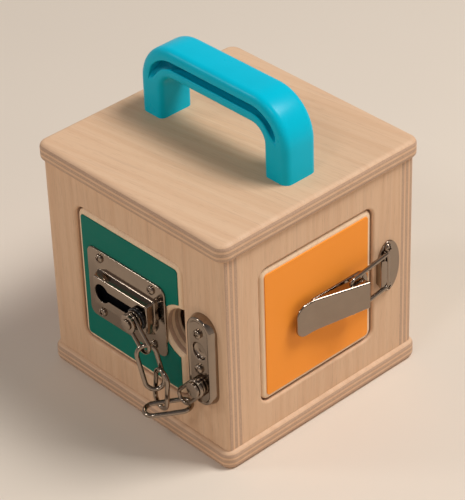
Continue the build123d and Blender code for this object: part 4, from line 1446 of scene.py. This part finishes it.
# Barrel bolt
bolt_axis = 5.2 * mm
bolt_radius = 3.0 * mm
bolt_bore_gap = 0.1 * mm
staple_gap = 0.6 * mm
staple_corner = 1.6 * mm
guide_wall = 1.6 * mm
guide_length = 9.0 * mm
bolt_corner = 2.1 * mm
bolt_ease = 1.0 * mm
bolt_screw_margin = 4.2 * mm
knob_radius = 2.0 * mm
knob_length = 9.0 * mm
knob_head_radius = 3.25 * mm
knob_head_sheet = 3.0 * mm
knob_gap = 1.0 * mm


def guide_outlines():
    """Outside and bore of a guide for the bolt: a block with a round top, and a round hole."""
    reach = bolt_radius + guide_wall
    half = turn_points // 2
    top = arc((0, bolt_axis), reach, 0, math.pi, half)
    base = np.column_stack([np.linspace(-reach, reach, half), np.zeros(half)])
    bore_radius = bolt_radius + bolt_bore_gap
    bore = ellipse(bore_radius, bore_radius, (0, bolt_axis))
    return np.concatenate([top, base]), bore


def staple_outlines(metal):
    """Outside and inside of the staple that the bolt's end slides under: two rounded rectangles."""
    inner = 2 * (bolt_radius + staple_gap)
    crown = bolt_axis + inner / 2
    sheet = metal.sheet
    outside = rounded_rectangle(inner + 2 * sheet, crown + sheet, staple_corner, (0, (crown + sheet) / 2))
    middle = (0, (crown + flat_support) / 2)
    inside = rounded_rectangle(inner, crown - flat_support, staple_corner - sheet, middle)
    return outside, inside


def bolt_plate_surfaces(node, metal, outlines, guide_starts):
    """Bolt plate with eased edges, and guides that stand on it: two outlines carried along the bolt."""
    low, high = node_box(node, "back")
    middle = ((low + high) / 2)[:2]
    length, height = (high - low)[:2]

    def outline(inset):
        return rounded_rectangle(length - 2 * inset, height - 2 * inset, bolt_corner - inset, middle)

    plate = moulded(outline, [(0, 0), *rounding(metal.sheet_ease, metal.sheet)])
    block, bore = outlines
    guides = []
    for start in guide_starts:
        ends = (start, start + guide_length)
        rings = ((block, ends[0]), (block, ends[1]), (bore, ends[1]), (bore, ends[0]))
        rows = [
            np.column_stack([np.full(len(ring), at), middle[1] + ring[:, 0], ring[:, 1]])
            for ring, at in rings
        ]
        guides.append(grid(np.stack(rows), wrap_rows=True))
    return [placed(surface, "back") for surface in (plate, *guides)]


def sliding_bolt_surfaces():
    """Round bolt with eased ends, and a knob that stands out of it."""
    low, high = node_box("sliding_bolt", "back")
    level = (low[1] + high[1]) / 2
    rod = turned(disc_profile([(bolt_radius, low[0], high[0])], bolt_ease))
    rod = moved(rod, (0, level, bolt_axis), lying_axes)
    base_start = node_box("bolt_base", "back")[0][0]
    knob_place = base_start + guide_length + knob_head_radius + knob_gap
    steps = stacked_discs([(knob_radius, knob_length), (knob_head_radius, knob_head_sheet)], bolt_axis)
    knob = moved(turned(disc_profile(steps, button_ease)), (knob_place, level, 0))
    return [placed(surface, "back") for surface in (rod, knob)]


def plate_corner_places(node, side, margin, both_sides):
    """Screw places at a plate's corners, or only above and below its middle."""
    low, high = node_box(node, side)
    middle = (low[0] + high[0]) / 2
    places = (low[0] + margin, high[0] - margin) if both_sides else (middle,)
    return [(along, up) for along in places for up in (low[1] + margin, high[1] - margin)]


# Stage, in metres, watts and degrees. The camera was fitted to the box's corners in the photo: its lens is
# in pixels of a picture this high, and its sensor in millimetres.
floor_reach = 3.0
sky_low = "#E3D8D0"
sky_high = "#6E7178"
sky_strength = 0.62
camera_place = (0.81685, -0.74087, 0.84648)
camera_azimuth = 47.7547
camera_elevation = 34.8957
camera_roll = -1.989
lens_pixels = 2296.59
picture_height = 500
sensor = 36.0

# Lamps: the way to each from the box, its distance, its width and its power
lamps = {
    "key_lamp": ((0.37, 0.34, 0.86), 2.2, 0.75, 36.0),
    "rim_lamp": ((-0.57, -0.6, 0.56), 2.4, 0.4, 7.0),
    "front_lamp": ((0.18, -0.63, 0.75), 2.2, 0.34, 4.5),
}


def lay_floor(scene):
    """Square floor that the box stands on."""
    corners = rectangle(2 * floor_reach, 2 * floor_reach, (0, 0))
    points = np.column_stack([corners, np.zeros(len(corners))])
    mesh = bpy.data.meshes.new("floor")
    mesh.from_pydata(points.tolist(), [], [list(range(len(points)))])
    mesh.materials.append(finish_named("pale_floor"))
    floor = bpy.data.objects.new("floor", mesh)
    scene.collection.objects.link(floor)


def add_lamp(scene, name, way, distance, width, power):
    """Soft square lamp that looks at the box from a direction."""
    data = bpy.data.lights.new(name, "AREA")
    data.shape = "SQUARE"
    data.size = width
    data.energy = power
    lamp = bpy.data.objects.new(name, data)
    direction = np.array(way) / np.linalg.norm(way)
    lamp.location = (direction * distance).tolist()
    around = math.atan2(direction[1], direction[0]) + quarter_turn
    lamp.rotation_euler = (math.acos(direction[2]), 0, around)
    scene.collection.objects.link(lamp)


def set_sky(scene):
    """Studio sky: one colour up to the horizon, blended into another straight above."""
    world = bpy.data.worlds.new("studio")
    world.use_nodes = True
    tree = world.node_tree
    tree.nodes.clear()
    place = add_node(tree, "ShaderNodeTexCoord").outputs["Generated"]
    height = add_node(tree, "ShaderNodeSeparateXYZ", {"Vector": place}).outputs["Z"]
    shade = add_node(tree, "ShaderNodeMix", {
        mix_share: height, mix_first: linear(sky_low), mix_second: linear(sky_high),
    }, data_type="RGBA")
    sky = add_node(tree, "ShaderNodeBackground", {"Color": shade, "Strength": sky_strength})
    add_node(tree, "ShaderNodeOutputWorld", {"Surface": sky})
    scene.world = world


def set_camera(scene):
    """Camera that is rolled about its own line of sight, then tilted and turned to look at the box."""
    data = bpy.data.cameras.new("camera")
    data.sensor_width = sensor
    data.lens = lens_pixels / picture_height * sensor
    camera = bpy.data.objects.new("camera", data)
    tilt = math.radians(right_angle - camera_elevation)
    lean = Euler((tilt, 0, math.radians(camera_azimuth))).to_matrix()
    roll = Matrix.Rotation(math.radians(camera_roll), 3, "Z")
    camera.rotation_euler = (lean @ roll).to_euler()
    camera.location = camera_place
    scene.collection.objects.link(camera)
    scene.camera = camera


class StageOperator(bpy.types.Operator):
    """Lays the floor and sets the lamps, the sky and the camera"""

    bl_idname = "lockbox.stage"
    bl_label = "Stage"

    def execute(self, context):
        scene = context.scene
        lay_floor(scene)
        for name, placing in lamps.items():
            add_lamp(scene, name, *placing)
        set_sky(scene)
        set_camera(scene)
        scene.view_settings.view_transform = "Standard"
        return {"FINISHED"}


class BoardsOperator(bpy.types.Operator):
    """Makes the top and bottom boards"""

    bl_idname = "lockbox.boards"
    bl_label = "Boards"

    def execute(self, context):
        wood = context.scene.lock_box_wood
        for node, finish in (("top_board", "birch_top"), ("bottom_board", "birch_bottom")):
            add_piece(node, [board_surface(node, wood)], [finish_named(finish)])
        return {"FINISHED"}


class WallsOperator(bpy.types.Operator):
    """Makes the four walls with their door openings"""

    bl_idname = "lockbox.walls"
    bl_label = "Walls"

    def execute(self, context):
        for side in wall_axes:
            surfaces = wall_surfaces(side, context.scene.lock_box_wood)
            add_piece(f"{side}_wall", surfaces, [finish_named(f"birch_{side}")])
        return {"FINISHED"}


class DoorsOperator(bpy.types.Operator):
    """Makes the four doors and their coloured faces"""

    bl_idname = "lockbox.doors"
    bl_label = "Doors"

    def execute(self, context):
        for side in wall_axes:
            board, face = door_surfaces(side, context.scene.lock_box_wood)
            add_piece(f"{side}_door_board", board, [finish_named(f"birch_{side}_door")])
            add_piece(f"{side}_door_face", face, [finish_named(door_finish[side])])
        return {"FINISHED"}


class HandleOperator(bpy.types.Operator):
    """Makes the carry handle"""

    bl_idname = "lockbox.handle"
    bl_label = "Handle"

    def execute(self, context):
        surface = handle_surface(context.scene.lock_box_wood)
        add_piece("handle", [surface], [finish_named("turquoise_plastic")])
        return {"FINISHED"}


class ChainTrackOperator(bpy.types.Operator):
    """Makes the chain's track on the front door and its screws"""

    bl_idname = "lockbox.chain_track"
    bl_label = "Chain track"

    def execute(self, context):
        metal = context.scene.lock_box_metal
        nickel = finish_named("nickel_plate")
        # The second finish, black, is painted shade inside the track's hollow
        add_piece("chain_track", track_surfaces(metal), [nickel, finish_named("black_plastic")])
        add_screws("chain_track_screws", "front", track_screw_places(), metal.sheet, nickel)
        return {"FINISHED"}


class ChainOperator(bpy.types.Operator):
    """Makes the sliding button, the two straps and the three links"""

    bl_idname = "lockbox.chain"
    bl_label = "Chain"

    def execute(self, context):
        metal = context.scene.lock_box_metal
        nickel = finish_named("nickel_plate")
        add_piece("chain_button", button_surfaces(), [nickel, finish_named("black_plastic")])
        button = node_middle("chain_button", "front")
        stud = node_middle("chain_anchor_stud", "front")
        for node, pivot, swing in (("button_strap", button, button_strap_swing),
                                   ("anchor_strap", stud, anchor_strap_swing)):
            level = node_middle(node, "front")[2]
            add_piece(node, [strap_surface(metal, (pivot[0], pivot[1], level), swing)], [nickel])
        second_turn = link_turn + second_link_turn
        turns = {
            "chain_link_first": (("Z", right_angle), ("Y", link_turn), ("Z", first_link_tilt)),
            "chain_link_second": (("Z", right_angle + second_link_lean), ("Y", second_turn)),
            "chain_link_third": (("X", right_angle), ("Z", third_link_rise), ("Y", link_turn)),
        }
        for node, spins in turns.items():
            add_piece(node, [link_surface(metal, node_middle(node, "front"), *spins)], [nickel])
        return {"FINISHED"}


class ChainAnchorOperator(bpy.types.Operator):
    """Makes the chain's anchor plate, its stud and its screws"""

    bl_idname = "lockbox.chain_anchor"
    bl_label = "Chain anchor"

    def execute(self, context):
        metal = context.scene.lock_box_metal
        nickel = finish_named("nickel_plate")
        add_piece("chain_anchor", anchor_surfaces(metal), [nickel])
        add_piece("chain_anchor_stud", stud_surfaces(metal), [nickel])
        levels = anchor_levels()
        along = node_middle("chain_anchor", "front")[0]
        rise = node_box("chain_anchor", "front")[1][2]
        add_screws("chain_anchor_screws", "front", [(along, levels[0]), (along, levels[2])], rise, nickel)
        return {"FINISHED"}


class LatchOperator(bpy.types.Operator):
    """Makes the draw latch's base, pin, lever, bail and screws"""

    bl_idname = "lockbox.latch"
    bl_label = "Draw latch"

    def execute(self, context):
        metal = context.scene.lock_box_metal
        nickel = finish_named("nickel_plate")
        add_piece("latch_base", latch_base_surfaces(metal), [nickel])
        add_piece("latch_pin", pin_surfaces(), [nickel])
        add_piece("latch_lever", lever_surfaces(metal), [nickel])
        add_piece("latch_bail", bail_surfaces(metal), [nickel])
        place, level = fulcrum()
        half_rise = latch_screw_rise / 2
        places = [(place + latch_screw_reach, level + way * half_rise) for way in (-1, 1)]
        places.append((place - latch_back_screw_reach, level))
        add_screws("latch_base_screws", "right", places, metal.sheet, nickel)
        return {"FINISHED"}


class LatchKeeperOperator(bpy.types.Operator):
    """Makes the draw latch's keeper and its screws"""

    bl_idname = "lockbox.latch_keeper"
    bl_label = "Latch keeper"

    def execute(self, context):
        metal = context.scene.lock_box_metal
        nickel = finish_named("nickel_plate")
        add_piece("latch_keeper", keeper_surfaces(metal), [nickel])
        low, high = node_box("latch_keeper", "right")
        along = (low[0] + high[0]) / 2 - keeper_screw_shift
        places = [(along, low[1] + keeper_screw_margin), (along, high[1] - keeper_screw_margin)]
        add_screws("latch_keeper_screws", "right", places, metal.sheet, nickel)
        return {"FINISHED"}


class BoltOperator(bpy.types.Operator):
    """Makes the barrel bolt, its base, its keeper and their screws"""

    bl_idname = "lockbox.bolt"
    bl_label = "Barrel bolt"

    def execute(self, context):
        metal = context.scene.lock_box_metal
        nickel = finish_named("nickel_plate")
        base_low, base_high = node_box("bolt_base", "back")
        base_starts = (base_low[0], base_high[0] - guide_length)
        keeper_starts = (node_middle("bolt_keeper", "back")[0] - guide_length / 2,)
        base = bolt_plate_surfaces("bolt_base", metal, guide_outlines(), base_starts)
        keeper = bolt_plate_surfaces("bolt_keeper", metal, staple_outlines(metal), keeper_starts)
        add_piece("bolt_base", base, [nickel])
        add_piece("bolt_keeper", keeper, [nickel])
        add_piece("sliding_bolt", sliding_bolt_surfaces(), [nickel])
        base_places = plate_corner_places("bolt_base", "back", bolt_screw_margin, True)
        keeper_places = plate_corner_places("bolt_keeper", "back", bolt_screw_margin, False)
        add_screws("bolt_base_screws", "back", base_places, metal.sheet, nickel)
        add_screws("bolt_keeper_screws", "back", keeper_places, metal.sheet, nickel)
        return {"FINISHED"}


class TurnButtonOperator(bpy.types.Operator):
    """Makes the wooden turn button, its washer and its screw"""

    bl_idname = "lockbox.turn_button"
    bl_label = "Turn button"

    def execute(self, context):
        wood = context.scene.lock_box_wood
        low, high = node_box("turn_button", "left")
        middle = ((low + high) / 2)[:2]
        width, length = (high - low)[:2]

        def outline(inset):
            return rounded_rectangle(width - 2 * inset, length - 2 * inset, width / 2 - inset, middle)

        steps = undercut(wood.door_ease, low[2]) + rounding(wood.turn_ease, high[2])
        add_piece("turn_button", [placed(moulded(outline, steps), "left")], [finish_named("sanded_beech")])
        zinc = finish_named("zinc_plate")
        dress("turn_button_washer", zinc)
        screw_top = node_box("turn_button_screw", "left")[1][2]
        screw_level = screw_top - context.scene.lock_box_metal.screw_rise
        add_screws("turn_button_screw", "left", [middle], screw_level, zinc)
        return {"FINISHED"}


class HiddenPiecesOperator(bpy.types.Operator):
    """Finishes the dowels, stops, pivot pins and handle screws inside the box"""

    bl_idname = "lockbox.hidden_pieces"
    bl_label = "Hidden pieces"

    def execute(self, context):
        stops = [f"{side}_door_stops" for side in wall_axes]
        pins = [f"{side}_door_pins" for side in wall_axes]
        for node in ("wall_dowels", "top_dowels", "bottom_dowels", *stops):
            dress(node, finish_named("sanded_beech"))
        for node in ("handle_screws", "handle_washers", *pins):
            dress(node, finish_named("zinc_plate"))
        return {"FINISHED"}


piece_operators = (
    StageOperator,
    BoardsOperator,
    WallsOperator,
    DoorsOperator,
    HandleOperator,
    ChainTrackOperator,
    ChainOperator,
    ChainAnchorOperator,
    LatchOperator,
    LatchKeeperOperator,
    BoltOperator,
    TurnButtonOperator,
    HiddenPiecesOperator,
)


class LockBoxPanel(bpy.types.Panel):
    """Lists the steps that dress the lock box, and its sizes and colours"""

    bl_idname = "VIEW3D_PT_lock_box"
    bl_label = "Lock Box"
    bl_space_type = "VIEW_3D"
    bl_region_type = "UI"
    bl_category = "Lock Box"

    def draw(self, context):
        layout = self.layout
        for operator in piece_operators:
            layout.operator(operator.bl_idname)
        scene = context.scene
        for group in (scene.lock_box_wood, scene.lock_box_metal, scene.lock_box_colours):
            box = layout.box()
            for name in group.bl_rna.properties.keys():
                if name not in ("rna_type", "name"):
                    box.prop(group, name)


classes = (LockBoxWood, LockBoxMetal, LockBoxColours, *piece_operators, LockBoxPanel)


def register():
    """Makes the sizes, the colours, the operators and the panel known to Blender."""
    for item in classes:
        bpy.utils.register_class(item)
    bpy.types.Scene.lock_box_wood = PointerProperty(type=LockBoxWood)
    bpy.types.Scene.lock_box_metal = PointerProperty(type=LockBoxMetal)
    bpy.types.Scene.lock_box_colours = PointerProperty(type=LockBoxColours)


def unregister():
    """Takes them out again."""
    del bpy.types.Scene.lock_box_colours
    del bpy.types.Scene.lock_box_metal
    del bpy.types.Scene.lock_box_wood
    for item in reversed(classes):
        bpy.utils.unregister_class(item)


def main():
    """Dresses the whole box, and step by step."""
    register()
    for operator in piece_operators:
        group, name = operator.bl_idname.split(".")
        getattr(getattr(bpy.ops, group), name)()


if __name__ == "__main__":
    main()
